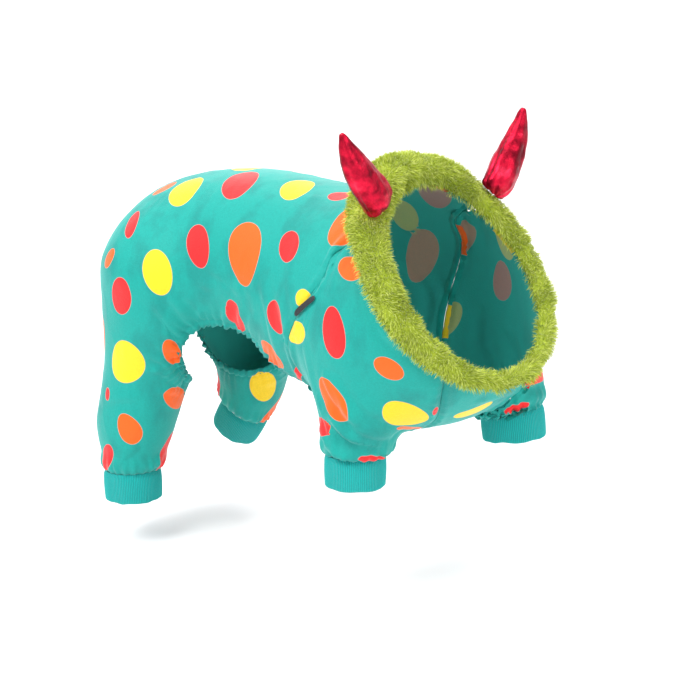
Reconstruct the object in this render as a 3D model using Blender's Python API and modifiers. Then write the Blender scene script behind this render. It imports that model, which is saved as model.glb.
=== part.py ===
"""Four-legged plush suit with raglan front sleeves, ribbed cuffs and a horned hood, kept in its worn form.

The origin is on the inside of the back, above the ribs. +X points to the neck, +Y to the left side.
The cloth panels are laid on one smooth form, a blend of ellipsoids and tapered limbs.
"""
import math

import bmesh
import bpy
import numpy as np
from mathutils import Matrix, Vector
from mathutils.bvhtree import BVHTree

# Driving sizes of the worn form, in metres
BODY_LENGTH = 0.330
CHEST_WIDTH = 0.170
CHEST_DEPTH = 0.164
BACK_HEIGHT = 0.313
LEG_SPREAD = 0.120
FRONT_STRIDE = 0.042
BLEND = 0.012

# Driving sizes of the neckline
NECKLINE_X = 0.114
NECKLINE_DROP = 0.063
NECKLINE_TILT = math.radians(35)
NECKLINE_HALF_WIDTH = 0.079
NECKLINE_HALF_HEIGHT = 0.084

# Cloth
WALL = 0.002
SEAM_GAP = 0.0009
PLEAT_DEPTH = 0.0022
PLEAT_PITCH = 0.026

# Ribbed cuffs
FRONT_CUFF_RADIUS = 0.0240
REAR_CUFF_RADIUS = 0.0230
CUFF_HEIGHT = 0.026
CUFF_WALL = 0.0024
CUFF_BULGE = 0.0006
CUFF_SIDES = 20

# Hood, pushed back into a soft roll round the neckline
HOOD_WALL = 0.004
HOOD_NAPE_ROLL = 0.023
HOOD_SIDE_ROLL = 0.0125
HOOD_THROAT_ROLL = 0.0060
HOOD_RIPPLE = 0.0012
HOOD_RIPPLES = 9
HOOD_STEPS = 36
HOOD_GAP = 0.0003

# Horns
HORN_LENGTH = 0.082
HORN_WIDTH = 0.031
HORN_DEPTH = 0.025
HORN_LEAN = math.radians(30)
HORN_BACK = {-1: math.radians(7), 1: math.radians(1)}
HORN_HOOK = 0.0035
HORN_PLACE = {-1: math.radians(133), 1: math.radians(124)}
HORN_SIDES = 12
HORN_SEAT_GAP = 0.0014
HORN_SEAT_OUT = 0.20
HORN_SEAT_FORWARD = 0.75
HORN_CROWN = HORN_DEPTH / 4

# Bare ribbon tab in the right raglan seam
LABEL_LENGTH = 0.028
LABEL_WIDTH = 0.0055
LABEL_THICKNESS = 0.0008
LABEL_GAP = 0.0005
LABEL_RISE = math.radians(38.5)
LABEL_STEPS = 4

# Grid steps of the panels
RAGLAN_STEPS = 9
NAPE_STEPS = 8
SIDE_NECK_STEPS = 5
THROAT_STEPS = 10
CHEST_SEAM_STEPS = 9
SIDE_SEAM_STEPS = 6
FLANK_STEPS = 6
HIP_STEPS = 12
THIGH_STEPS = 8
SLEEVE_RINGS = 10
REAR_LEG_RINGS = 11
MIN_SLOPE = 0.05
RAY_STEPS = 400
ARC_STEPS = 48

# Rows over the back turn about a point this share of the way down from the back
ROW_CENTRE = 0.55
# Cuff points keep this share of the seam's own spacing round the limb
SEAM_SPACING_KEPT = 0.45
# Middle of the hip's rows, as shares of BODY_LENGTH behind THIGH_FRONT and of BACK_HEIGHT
HIP_CENTRE_BACK = 0.09
HIP_CENTRE_Z = 0.735
HIP_FIRST_ANGLE = math.radians(-24)
# Height from which the top of the back is looked for, as a share of BACK_HEIGHT
CORE_Z = 0.75
# A fold fades at its ends: the part of a half wave that it starts at and covers
FOLD_START = 0.15
FOLD_COVER = 0.70

HALF_CHEST = CHEST_WIDTH / 2
HALF_DEPTH = CHEST_DEPTH / 2
HALF_SPREAD = LEG_SPREAD / 2

# Body masses: x as a share of BODY_LENGTH, z of BACK_HEIGHT, then the half sizes
# as shares of BODY_LENGTH, HALF_CHEST and HALF_DEPTH
MASSES = (
    # name, x, z, half length, half width, half depth
    ("ribs", 0.091, 0.732, 0.358, 0.988, 0.976),
    ("loin", -0.218, 0.805, 0.327, 0.824, 0.793),
    ("rump", -0.442, 0.754, 0.200, 0.753, 0.732),
    ("chest", 0.279, 0.674, 0.176, 0.894, 0.854),
    ("neck_base", 0.212, 0.748, 0.242, 0.918, 0.951),
    ("neck", 0.300, 0.790, 0.242, 0.894, 0.927),
)

# Limb stations: x as a share of BODY_LENGTH, y of HALF_SPREAD, z of BACK_HEIGHT,
# radius of the limb's cuff radius. The last two stations carry the cuff.
LIMBS = {
    "front_right": (-1, FRONT_CUFF_RADIUS, (
        # x, y, z, radius
        (0.188, 0.93, 0.687, 1.58),
        (0.182, 1.00, 0.511, 1.29),
        (0.170, 1.00, 0.428, 1.10),
        (0.170, 1.00, 0.383, 0.98),
        (0.170, 1.00, 0.300, 0.98),
    )),
    "front_left": (1, FRONT_CUFF_RADIUS, (
        (0.258, 0.93, 0.687, 1.58),
        (0.309, 1.03, 0.559, 1.29),
        (0.352, 1.08, 0.492, 1.16),
        (0.361, 1.08, 0.447, 1.04),
        (0.370, 1.08, 0.361, 1.04),
    )),
    "rear_right": (-1, REAR_CUFF_RADIUS, (
        (-0.461, 0.67, 0.719, 2.35),
        (-0.497, 0.87, 0.473, 1.57),
        (-0.527, 0.97, 0.319, 1.43),
        (-0.527, 1.05, 0.204, 1.02),
        (-0.524, 1.05, 0.115, 1.00),
    )),
    "rear_left": (1, REAR_CUFF_RADIUS, (
        (-0.442, 0.67, 0.719, 2.35),
        (-0.406, 0.83, 0.479, 1.57),
        (-0.418, 0.87, 0.367, 1.22),
        (-0.436, 0.88, 0.304, 0.91),
        (-0.479, 0.90, 0.233, 0.87),
    )),
}

# Seam lines: x as a share of BODY_LENGTH, y of HALF_CHEST, z of BACK_HEIGHT,
# and how much of FRONT_STRIDE the left side takes
RAGLAN_SEAM = (
    # x, y, z, stride
    (0.145, 0.85, 0.907, 0.10),
    (0.140, 1.01, 0.835, 0.25),
    (0.080, 1.05, 0.757, 0.50),
    (0.020, 0.97, 0.655, 0.80),
    (0.014, 0.85, 0.569, 0.95),
)
ARMPIT = (0.036, 0.70, 0.505, 1.00)
CHEST_SEAM = (
    (0.396, 0.63, 0.567, 0.30),
    (0.360, 0.45, 0.494, 0.30),
    (0.297, 0.34, 0.455, 0.50),
    (0.182, 0.33, 0.455, 0.90),
    (0.091, 0.45, 0.473, 1.00),
)
BELLY_CORNER = (-0.091, 0.71, 0.537, 0.00)
FLANK_EDGE = (
    (-0.182, 0.78, 0.575, 0.00),
    (-0.270, 0.82, 0.597, 0.00),
)
RAGLAN_ANGLE = math.radians(128)
CHEST_ANGLE = math.radians(51)

# Edges of the rear legs, in the same shares; the last column is how much of the
# forward set of the left hind leg the left side takes
HIND_STRIDE = 0.018
THIGH_FRONT = (-0.358, 0.78, 0.560, 0.90)
HIP_LINE = (
    # x, y, z, stride
    (-0.397, 0.85, 0.655, 0.80),
    (-0.485, 0.85, 0.712, 0.50),
    (-0.582, 0.78, 0.680, 0.30),
    (-0.633, 0.58, 0.630, 0.20),
)
THIGH_BACK = (-0.640, 0.36, 0.605, 0.10)
INNER_THIGH = (
    (-0.606, 0.28, 0.540, 0.30),
    (-0.536, 0.22, 0.480, 0.60),
    (-0.448, 0.27, 0.450, 0.90),
    (-0.382, 0.50, 0.470, 1.00),
)
TAIL_X = -0.633
TAIL_Z = 0.709

# Main folds: two ends in the same shares as the seams, then width and height
FOLDS = (
    # name, side, x, y, z, x, y, z, width, height
    ("sleeve_upper", -1, 0.14, 1.02, 0.60, 0.27, 0.98, 0.49, 0.011, 0.0040),
    ("sleeve_middle", -1, 0.14, 1.04, 0.53, 0.24, 0.90, 0.44, 0.009, 0.0035),
    ("sleeve_lower", -1, 0.13, 1.02, 0.46, 0.22, 0.90, 0.40, 0.008, 0.0028),
    ("shoulder", -1, 0.18, 1.00, 0.88, 0.22, 1.06, 0.74, 0.012, 0.0030),
    ("sleeve_upper", 1, 0.30, 1.02, 0.62, 0.38, 0.90, 0.52, 0.011, 0.0035),
    ("sleeve_lower", 1, 0.28, 1.02, 0.54, 0.36, 0.95, 0.47, 0.009, 0.0030),
    ("shoulder", 1, 0.20, 1.00, 0.88, 0.26, 1.06, 0.74, 0.012, 0.0030),
    ("flank", -1, -0.28, 0.95, 0.70, -0.38, 0.92, 0.62, 0.012, 0.0025),
    ("flank", 1, -0.26, 0.95, 0.70, -0.36, 0.92, 0.62, 0.012, 0.0025),
)

# Hood roll in the plane of each neckline point: distance out and forward,
# as shares of the roll's size there
HOOD_PROFILE = (
    # throat out, throat forward, side out, side forward, nape out, nape forward
    (0.00, 0.00, 0.00, 0.00, 0.00, 0.00),
    (0.10, 0.35, 0.10, 0.33, 0.08, 0.30),
    (0.33, 0.62, 0.36, 0.60, 0.31, 0.57),
    (0.62, 0.66, 0.74, 0.54, 0.66, 0.50),
    (0.88, 0.48, 1.02, 0.14, 1.00, 0.10),
    (1.00, 0.22, 1.05, -0.40, 1.06, -0.38),
    (0.98, 0.12, 0.86, -0.80, 0.92, -0.74),
)

# Horn stations: share of the length, share of the hook, width and depth
HORN_PROFILE = (
    # along, hook, width, depth
    (0.16, 0.10, 0.98, 0.97),
    (0.32, 0.35, 1.00, 1.00),
    (0.50, 0.70, 0.94, 0.92),
    (0.66, 0.95, 0.78, 0.78),
    (0.80, 1.00, 0.56, 0.58),
    (0.90, 0.85, 0.37, 0.40),
    (0.97, 0.60, 0.22, 0.26),
    (1.00, 0.50, 0.12, 0.14),
)

# Base colours, roughness and metallic value
TEAL = (0.0, 0.36, 0.31, 1.0)
TURQUOISE = (0.0, 0.47, 0.44, 1.0)
LIME = (0.50, 0.60, 0.05, 1.0)
LAME_RED = (0.55, 0.01, 0.04, 1.0)
RIBBON_BLACK = (0.01, 0.01, 0.012, 1.0)


def make_material(name, colour, roughness, metallic=0.0):
    material = bpy.data.materials.new(name)
    material.use_nodes = True
    shader = material.node_tree.nodes["Principled BSDF"]
    shader.inputs["Base Color"].default_value = colour
    shader.inputs["Roughness"].default_value = roughness
    shader.inputs["Metallic"].default_value = metallic
    return material


# The worn form
def ellipsoid_distance(points, centre, radii):
    offset = points - centre
    scaled = np.linalg.norm(offset / radii, axis=1)
    slope = np.maximum(np.linalg.norm(offset / radii ** 2, axis=1), 1e-9)
    return scaled * (scaled - 1) / slope


def limb_stations(name):
    side, cuff_radius, table = LIMBS[name]
    return [
        (np.array((x * BODY_LENGTH, side * y * HALF_SPREAD, z * BACK_HEIGHT)), radius * cuff_radius)
        for x, y, z, radius in table
    ]


def limb_distance(points, stations):
    nearest = None
    for (start, start_radius), (end, end_radius) in zip(stations, stations[1:]):
        axis = end - start
        along = np.clip((points - start) @ axis / (axis @ axis), 0, 1)
        radius = start_radius + (end_radius - start_radius) * along
        distance = np.linalg.norm(points - start - along[:, None] * axis, axis=1) - radius
        nearest = distance if nearest is None else np.minimum(nearest, distance)
    return nearest


FORM_MASSES = [
    (
        np.array((x * BODY_LENGTH, 0.0, z * BACK_HEIGHT)),
        np.array((length * BODY_LENGTH, width * HALF_CHEST, depth * HALF_DEPTH)),
    )
    for _, x, z, length, width, depth in MASSES
]
FORM_LIMBS = [limb_stations(name) for name in LIMBS]


def form(points):
    """Signed distance to the worn form, blended so that its parts run into each other."""
    parts = [ellipsoid_distance(points, centre, radii) for centre, radii in FORM_MASSES]
    parts += [limb_distance(points, stations) for stations in FORM_LIMBS]
    parts = np.array(parts)
    nearest = parts.min(axis=0)
    return nearest - BLEND * np.log(np.exp((nearest - parts) / BLEND).sum(axis=0))


def form_slope(points):
    step = BLEND / 24
    slope = np.zeros_like(points)
    for axis in range(3):
        shift = np.zeros(3)
        shift[axis] = step
        slope[:, axis] = (form(points + shift) - form(points - shift)) / (2 * step)
    return slope


def form_normal(points):
    slope = form_slope(points)
    return slope / np.linalg.norm(slope, axis=1)[:, None]


def lay(points, plane_normal=None, rounds=12):
    """Moves points onto the form, inside their plane where one is given."""
    points = np.array(points, float)
    for _ in range(rounds):
        slope = form_slope(points)
        if plane_normal is not None:
            slope = slope - (slope @ plane_normal)[:, None] * plane_normal
        size = np.maximum((slope ** 2).sum(axis=1), MIN_SLOPE)
        move = np.clip(form(points) / size, -BLEND, BLEND)
        points = points - move[:, None] * slope
    return points


def first_surface(start, direction, reach):
    """The outermost point of the form on a ray from a point inside it."""
    steps = np.linspace(0, reach, RAY_STEPS)
    line = start + steps[:, None] * direction
    inside = np.nonzero(form(line) < 0)[0]
    return lay(line[inside[-1]][None], rounds=6)[0] if len(inside) else line[0]


# Curves on the form
def smooth_line(points, count):
    """Points spaced evenly along a Catmull-Rom curve."""
    points = np.array(points, float)
    padded = np.vstack((2 * points[0] - points[1], points, 2 * points[-1] - points[-2]))
    fine = []
    for i in range(len(points) - 1):
        a, b, c, d = padded[i:i + 4]
        for t in np.linspace(0, 1, 16, endpoint=False):
            fine.append(0.5 * (2 * b + (c - a) * t + (2 * a - 5 * b + 4 * c - d) * t ** 2
                               + (3 * b - a - 3 * c + d) * t ** 3))
    fine.append(points[-1])
    return even(fine, count)


def even(points, count):
    points = np.array(points, float)
    travel = np.concatenate(([0], np.cumsum(np.linalg.norm(np.diff(points, axis=0), axis=1))))
    wanted = np.linspace(0, travel[-1], count + 1)
    return np.stack([np.interp(wanted, travel, points[:, axis]) for axis in range(3)], axis=1)


def seam_point(row, side, stride):
    x, y, z, share = row
    forward = share * stride if side > 0 else 0.0
    return np.array((x * BODY_LENGTH + forward, side * y * HALF_CHEST, z * BACK_HEIGHT))


def seam_line(rows, side, stride, start, end, count):
    """A seam from a point to a point through the rows of a table, laid on the form."""
    points = [start] + [seam_point(row, side, stride) for row in rows] + [end]
    points = smooth_line(lay(points), count)
    laid = lay(points)
    laid[0], laid[-1] = start, end
    return laid


NECK_CENTRE = np.array((NECKLINE_X, 0.0, BACK_HEIGHT - NECKLINE_DROP))
NECK_UP = np.array((-math.sin(NECKLINE_TILT), 0.0, math.cos(NECKLINE_TILT)))
NECK_FORWARD = np.array((math.cos(NECKLINE_TILT), 0.0, math.sin(NECKLINE_TILT)))
LEFT = np.array((0.0, 1.0, 0.0))


def neckline(angles, side):
    """Points of the neckline, from 0 at the throat to half a turn at the nape."""
    angles = np.array(angles)
    ring = (NECK_CENTRE
            - np.cos(angles)[:, None] * NECKLINE_HALF_HEIGHT * NECK_UP
            + side * np.sin(angles)[:, None] * NECKLINE_HALF_WIDTH * LEFT)
    return lay(ring, NECK_FORWARD)


# Shared seams, one set for each side: -1 is the right, 1 the left
def side_seams(side):
    armpit = lay([seam_point(ARMPIT, side, FRONT_STRIDE)])[0]
    corner = lay([seam_point(BELLY_CORNER, side, FRONT_STRIDE)])[0]
    thigh_front = lay([seam_point(THIGH_FRONT, side, HIND_STRIDE)])[0]
    thigh_back = lay([seam_point(THIGH_BACK, side, HIND_STRIDE)])[0]
    back_end, front_end = neckline((RAGLAN_ANGLE, CHEST_ANGLE), side)
    neck_angles = np.linspace(RAGLAN_ANGLE, CHEST_ANGLE, SIDE_NECK_STEPS + 1)
    return {
        "raglan": seam_line(RAGLAN_SEAM, side, FRONT_STRIDE, back_end, armpit, RAGLAN_STEPS),
        "neck_side": neckline(neck_angles, side),
        "chest": seam_line(CHEST_SEAM, side, FRONT_STRIDE, front_end, armpit, CHEST_SEAM_STEPS),
        "side": seam_line((), side, FRONT_STRIDE, armpit, corner, SIDE_SEAM_STEPS),
        "flank": seam_line(FLANK_EDGE, side, HIND_STRIDE, corner, thigh_front, FLANK_STEPS),
        "hip": seam_line(HIP_LINE, side, HIND_STRIDE, thigh_front, thigh_back, HIP_STEPS),
        "thigh": seam_line(INNER_THIGH, side, HIND_STRIDE, thigh_back, thigh_front, THIGH_STEPS),
    }


def relax(grid, closed, rounds=6):
    """Evens out a grid's inner points and lays them on the form again."""
    for _ in range(rounds):
        before = np.roll(grid, 1, axis=1) if closed else np.concatenate((grid[:, :1], grid[:, :-1]), axis=1)
        after = np.roll(grid, -1, axis=1) if closed else np.concatenate((grid[:, 1:], grid[:, -1:]), axis=1)
        inner = slice(None) if closed else slice(1, -1)
        mean = (grid[:-2, inner] + grid[2:, inner] + before[1:-1, inner] + after[1:-1, inner]) / 4
        moved = 0.5 * grid[1:-1, inner] + 0.5 * mean
        grid[1:-1, inner] = lay(moved.reshape(-1, 3), rounds=4).reshape(moved.shape)
    return grid


def across(start, top, end, count):
    """A row over the back, from a point on one side over the midline to the other side."""
    middle = (start + end) / 2
    centre = top + ROW_CENTRE * (middle - top)
    up = (top - middle) / np.linalg.norm(top - middle)
    sideways = end - start
    sideways = sideways - (sideways @ up) * up
    sideways /= np.linalg.norm(sideways)
    plane_normal = np.cross(up, sideways)
    ends = []
    for point in (start, end):
        offset = point - centre
        ends.append((math.atan2(offset @ up, offset @ sideways), np.linalg.norm(offset)))
    (first, first_reach), (last, last_reach) = ends
    if first < 0:
        first += 2 * math.pi
    top_reach = np.linalg.norm(top - centre)
    points = []
    for t in np.linspace(0, 1, ARC_STEPS + 1):
        angle = first + (last - first) * t
        side_reach = first_reach if t < 0.5 else last_reach
        share = math.sin(math.pi * t) ** 2
        reach = side_reach + (top_reach - side_reach) * share
        points.append(centre + reach * (math.cos(angle) * sideways + math.sin(angle) * up))
    points = lay(points, plane_normal)
    points[0], points[-1] = start, end
    return even(points, count)


def midline_points(count):
    """Points down the middle of the back, from above the thigh's front to the tail."""
    hip = np.array(((THIGH_FRONT[0] - HIP_CENTRE_BACK) * BODY_LENGTH, 0.0, HIP_CENTRE_Z * BACK_HEIGHT))
    tail = lay([(TAIL_X * BODY_LENGTH, 0.0, TAIL_Z * BACK_HEIGHT)])[0]
    offset = tail - hip
    last = math.atan2(-offset[0], offset[2])
    points = []
    for angle in np.linspace(HIP_FIRST_ANGLE, last, ARC_STEPS):
        direction = np.array((-math.sin(angle), 0.0, math.cos(angle)))
        points.append(first_surface(hip, direction, CHEST_WIDTH))
    return even(points, count)


# Panels
def saddle_grid(seams):
    right, left = seams[-1], seams[1]
    nape_angles = np.linspace(RAGLAN_ANGLE, 2 * math.pi - RAGLAN_ANGLE, NAPE_STEPS + 1)
    nape = neckline(nape_angles, -1)
    front = np.vstack((right["raglan"][::-1], nape[1:-1], left["raglan"]))
    columns = len(front) - 1
    rows = []
    corner_x = BELLY_CORNER[0] * BODY_LENGTH
    belly_row = across(right["side"][-1], top_at(corner_x), left["side"][-1], columns)
    for i in range(SIDE_SEAM_STEPS):
        share = i / SIDE_SEAM_STEPS
        row = lay(front * (1 - share) + belly_row * share) if i else front.copy()
        row[0], row[-1] = right["side"][i], left["side"][i]
        rows.append(row)
    rows.append(belly_row)
    middle = midline_points(HIP_STEPS)
    for i in range(1, FLANK_STEPS + 1):
        x = corner_x + (middle[0][0] - corner_x) * i / FLANK_STEPS
        rows.append(across(right["flank"][i], top_at(x), left["flank"][i], columns))
    for i in range(1, HIP_STEPS + 1):
        rows.append(across(right["hip"][i], middle[i], left["hip"][i], columns))
    return relax(np.array(rows), closed=False, rounds=8)


def top_at(x):
    return first_surface(np.array((x, 0.0, CORE_Z * BACK_HEIGHT)), np.array((0.0, 0.0, 1.0)), CHEST_WIDTH)


def cuff_axis(name):
    (top, top_radius), (end, _) = limb_stations(name)[-2:]
    return top, (end - top) / np.linalg.norm(end - top), top_radius


def limb_grid(loop, name, ring_count):
    """Rings from a limb's cuff up to a closed loop on the body."""
    top, axis, radius = cuff_axis(name)
    forward = np.array((1.0, 0.0, 0.0))
    forward = forward - (forward @ axis) * axis
    forward /= np.linalg.norm(forward)
    sideways = LEFT - (LEFT @ axis) * axis
    sideways /= np.linalg.norm(sideways)
    centre = loop.mean(axis=0)
    angles = np.unwrap(np.arctan2(loop[:, 1] - centre[1], loop[:, 0] - centre[0]))
    turn = math.copysign(2 * math.pi, angles[-1] - angles[0])
    steady = angles[0] + turn * np.arange(len(loop)) / len(loop)
    steady += (angles - steady).mean()
    angles = SEAM_SPACING_KEPT * angles + (1 - SEAM_SPACING_KEPT) * steady
    cuff = top + radius * (np.cos(angles)[:, None] * forward + np.sin(angles)[:, None] * sideways)
    cuff = lay(cuff, axis)
    rows = []
    for i in range(ring_count + 1):
        share = i / ring_count
        row = cuff * (1 - share) + loop * share
        rows.append(lay(row) if 0 < i < ring_count else row)
    return relax(np.array(rows), closed=True, rounds=10)


def belly_grid(seams):
    right, left = seams[-1], seams[1]
    throat_angles = np.linspace(CHEST_ANGLE, -CHEST_ANGLE, THROAT_STEPS + 1)
    throat = neckline(throat_angles, -1)
    right_edge = np.vstack((right["chest"], right["side"][1:]))
    left_edge = np.vstack((left["chest"], left["side"][1:]))
    rows = [throat]
    for start, end in zip(right_edge[1:], left_edge[1:]):
        share = np.linspace(0, 1, THROAT_STEPS + 1)[:, None]
        outward = form_normal(np.array((start, end))).sum(axis=0)
        bulge = share * (1 - share) * np.linalg.norm(end - start) * outward / np.linalg.norm(outward)
        row = lay(start * (1 - share) + end * share + bulge)
        row[0], row[-1] = start, end
        rows.append(even_on_form(row))
    return relax(np.array(rows), closed=False)


def even_on_form(row):
    spaced = lay(even(row, len(row) - 1))
    spaced[0], spaced[-1] = row[0], row[-1]
    return spaced


def fold_height(points):
    """How far the cloth stands off the form in its main folds."""
    height = np.zeros(len(points))
    scale = np.array((BODY_LENGTH, HALF_CHEST, BACK_HEIGHT))
    for _, side, *ends, width, rise in FOLDS:
        flip = np.array((1, side, 1))
        start = np.array(ends[:3]) * scale * flip
        end = np.array(ends[3:]) * scale * flip
        axis = end - start
        along = np.clip((points - start) @ axis / (axis @ axis), 0, 1)
        distance = np.linalg.norm(points - start - along[:, None] * axis, axis=1)
        height += rise * np.exp(-(distance / width) ** 2) * np.sin(math.pi * (FOLD_START + FOLD_COVER * along))
    return height


def pleat_height(points):
    """Gathers that run in from the elastic edges of the belly opening."""
    height = np.zeros(len(points))
    for edge in OPEN_EDGES:
        travel = np.concatenate(([0], np.cumsum(np.linalg.norm(np.diff(edge, axis=0), axis=1))))
        gaps = np.linalg.norm(points[:, None] - edge[None], axis=2)
        nearest = gaps.argmin(axis=1)
        fade = np.exp(-(gaps.min(axis=1) / PLEAT_PITCH) ** 2)
        height += PLEAT_DEPTH * fade * np.cos(2 * math.pi * travel[nearest] / PLEAT_PITCH)
    return height


def place(point):
    return Vector(point) - Vector(ORIGIN)


def seam_pull(vert, normal):
    """Half the seam's gap, square to the panel's edge and into the panel."""
    normal = Vector(normal)
    inward = Vector()
    for edge in vert.link_edges:
        if edge.is_boundary:
            loop = edge.link_loops[0]
            run = (loop.link_loop_next.vert.co - loop.vert.co).normalized()
            side = 1 if loop.face.normal.dot(normal) > 0 else -1
            inward += side * normal.cross(run)
    return inward.normalized() * SEAM_GAP / 2


def cloth_panel(name, grids, material):
    """Joins grids into one sheet and gives it two walls along the form's own normals.

    Both walls use the form's normals, so the rims of two panels stay parallel at their seam.
    """
    sheet = bmesh.new()
    for grid, closed in grids:
        rows, columns = grid.shape[:2]
        corners = [[sheet.verts.new(point) for point in row] for row in grid]
        for i in range(rows - 1):
            for j in range(columns if closed else columns - 1):
                k = (j + 1) % columns
                sheet.faces.new((corners[i][j], corners[i][k], corners[i + 1][k], corners[i + 1][j]))
    bmesh.ops.remove_doubles(sheet, verts=sheet.verts, dist=WALL / 20)
    bmesh.ops.recalc_face_normals(sheet, faces=sheet.faces)
    sheet.verts.index_update()
    base = np.array([tuple(vert.co) for vert in sheet.verts])
    normals = form_normal(base)
    pull = np.zeros_like(base)
    for vert in sheet.verts:
        if vert.is_boundary:
            pull[vert.index] = seam_pull(vert, normals[vert.index])
    rise = fold_height(base) + pleat_height(base)
    outer = base + pull + rise[:, None] * normals
    inner = outer - WALL * normals
    faces = [[vert.index for vert in face.verts] for face in sheet.faces]
    first = sheet.faces[:][0]
    if Vector(first.normal).dot(Vector(normals[first.verts[0].index])) < 0:
        faces = [face[::-1] for face in faces]
    directed = {(face[i - 1], face[i]) for face in faces for i in range(len(face))}
    rims = [(a, b) for a, b in directed if (b, a) not in directed]
    sheet.free()

    solid = bmesh.new()
    outside = [solid.verts.new(place(point)) for point in outer]
    inside = [solid.verts.new(place(point)) for point in inner]
    for face in faces:
        solid.faces.new([outside[index] for index in face])
        solid.faces.new([inside[index] for index in face[::-1]])
    for a, b in sorted(rims):
        solid.faces.new((outside[b], outside[a], inside[a], inside[b]))
    return finish(name, solid, material)


def finish(name, solid, material, sharp=math.radians(50)):
    bmesh.ops.recalc_face_normals(solid, faces=solid.faces)
    mesh = bpy.data.meshes.new(name)
    solid.to_mesh(mesh)
    solid.free()
    mesh.materials.append(material)
    mesh.shade_smooth()
    mesh.set_sharp_from_angle(angle=sharp)
    obj = bpy.data.objects.new(name, mesh)
    SUIT.objects.link(obj)
    return obj


def make_cuff(name, limb, material):
    """A turned rib-knit band that meets the end of its sleeve or leg."""
    top, axis, radius = cuff_axis(limb)
    lip = CUFF_WALL / 4
    start = SEAM_GAP / 2
    profile = (
        (radius - CUFF_WALL, -start - lip),
        (radius - CUFF_WALL + lip, -start),
        (radius - lip, -start),
        (radius, -start - lip),
        (radius + CUFF_BULGE, -CUFF_HEIGHT / 2),
        (radius, -CUFF_HEIGHT + lip),
        (radius - lip, -CUFF_HEIGHT),
        (radius - CUFF_WALL + lip, -CUFF_HEIGHT),
        (radius - CUFF_WALL, -CUFF_HEIGHT + lip),
    )
    mesh = bpy.data.meshes.new(name)
    count = len(profile)
    mesh.from_pydata([(x, 0, z) for x, z in profile], [(i, (i + 1) % count) for i in range(count)], [])
    mesh.materials.append(material)
    obj = bpy.data.objects.new(name, mesh)
    obj.matrix_world = (Matrix.Translation(place(top))
                        @ Vector((0, 0, -1)).rotation_difference(Vector(axis)).to_matrix().to_4x4())
    screw = obj.modifiers.new("Turn", "SCREW")
    screw.steps = screw.render_steps = CUFF_SIDES
    screw.use_merge_vertices = True
    screw.merge_threshold = 0.00001
    screw.use_normal_calculate = True
    screw.use_smooth_shade = True
    SUIT.objects.link(obj)
    return obj


def hood_weights(angle):
    """Shares of the throat, side and nape profiles at a place round the neckline."""
    turn = abs(math.remainder(angle, 2 * math.pi))
    nape = max(0.0, -math.cos(turn)) ** 2
    throat = max(0.0, math.cos(turn)) ** 1.5
    return throat, 1 - throat - nape, nape


def hood_point(angle, row):
    throat, side, nape = hood_weights(angle)
    out = (row[0] * throat * HOOD_THROAT_ROLL + row[2] * side * HOOD_SIDE_ROLL
           + row[4] * nape * HOOD_NAPE_ROLL)
    forward = (row[1] * throat * HOOD_THROAT_ROLL + row[3] * side * HOOD_SIDE_ROLL
               + row[5] * nape * HOOD_NAPE_ROLL)
    ripple = HOOD_RIPPLE * (1 - throat) * math.sin(HOOD_RIPPLES * angle) * row[2]
    return out + ripple, forward


def make_hood(material):
    """The pushed-back hood: one plush sheet that rises from the neckline and rolls outward."""
    mesh = bpy.data.meshes.new("hood")
    verts, faces = [], []
    angles = np.linspace(0, 2 * math.pi, HOOD_STEPS, endpoint=False)
    base = neckline(angles, -1)
    for angle, foot in zip(angles, base):
        outward = foot - NECK_CENTRE
        outward /= np.linalg.norm(outward)
        start = foot - WALL * outward + (HOOD_GAP - SEAM_GAP) * NECK_FORWARD
        for row in HOOD_PROFILE:
            out, forward = hood_point(angle, row)
            verts.append(place(start + out * outward + forward * NECK_FORWARD))
    rows = len(HOOD_PROFILE)
    for i in range(HOOD_STEPS):
        k = (i + 1) % HOOD_STEPS
        for j in range(rows - 1):
            faces.append((i * rows + j, i * rows + j + 1, k * rows + j + 1, k * rows + j))
    mesh.from_pydata(verts, [], faces)
    mesh.materials.append(material)
    mesh.shade_smooth()
    obj = bpy.data.objects.new("hood", mesh)
    wall = obj.modifiers.new("Plush", "SOLIDIFY")
    wall.thickness = HOOD_WALL
    wall.offset = -1
    SUIT.objects.link(obj)
    return obj


def surface_tree(obj):
    graph = bpy.context.evaluated_depsgraph_get()
    graph.update()
    return BVHTree.FromObject(obj, graph)


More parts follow.
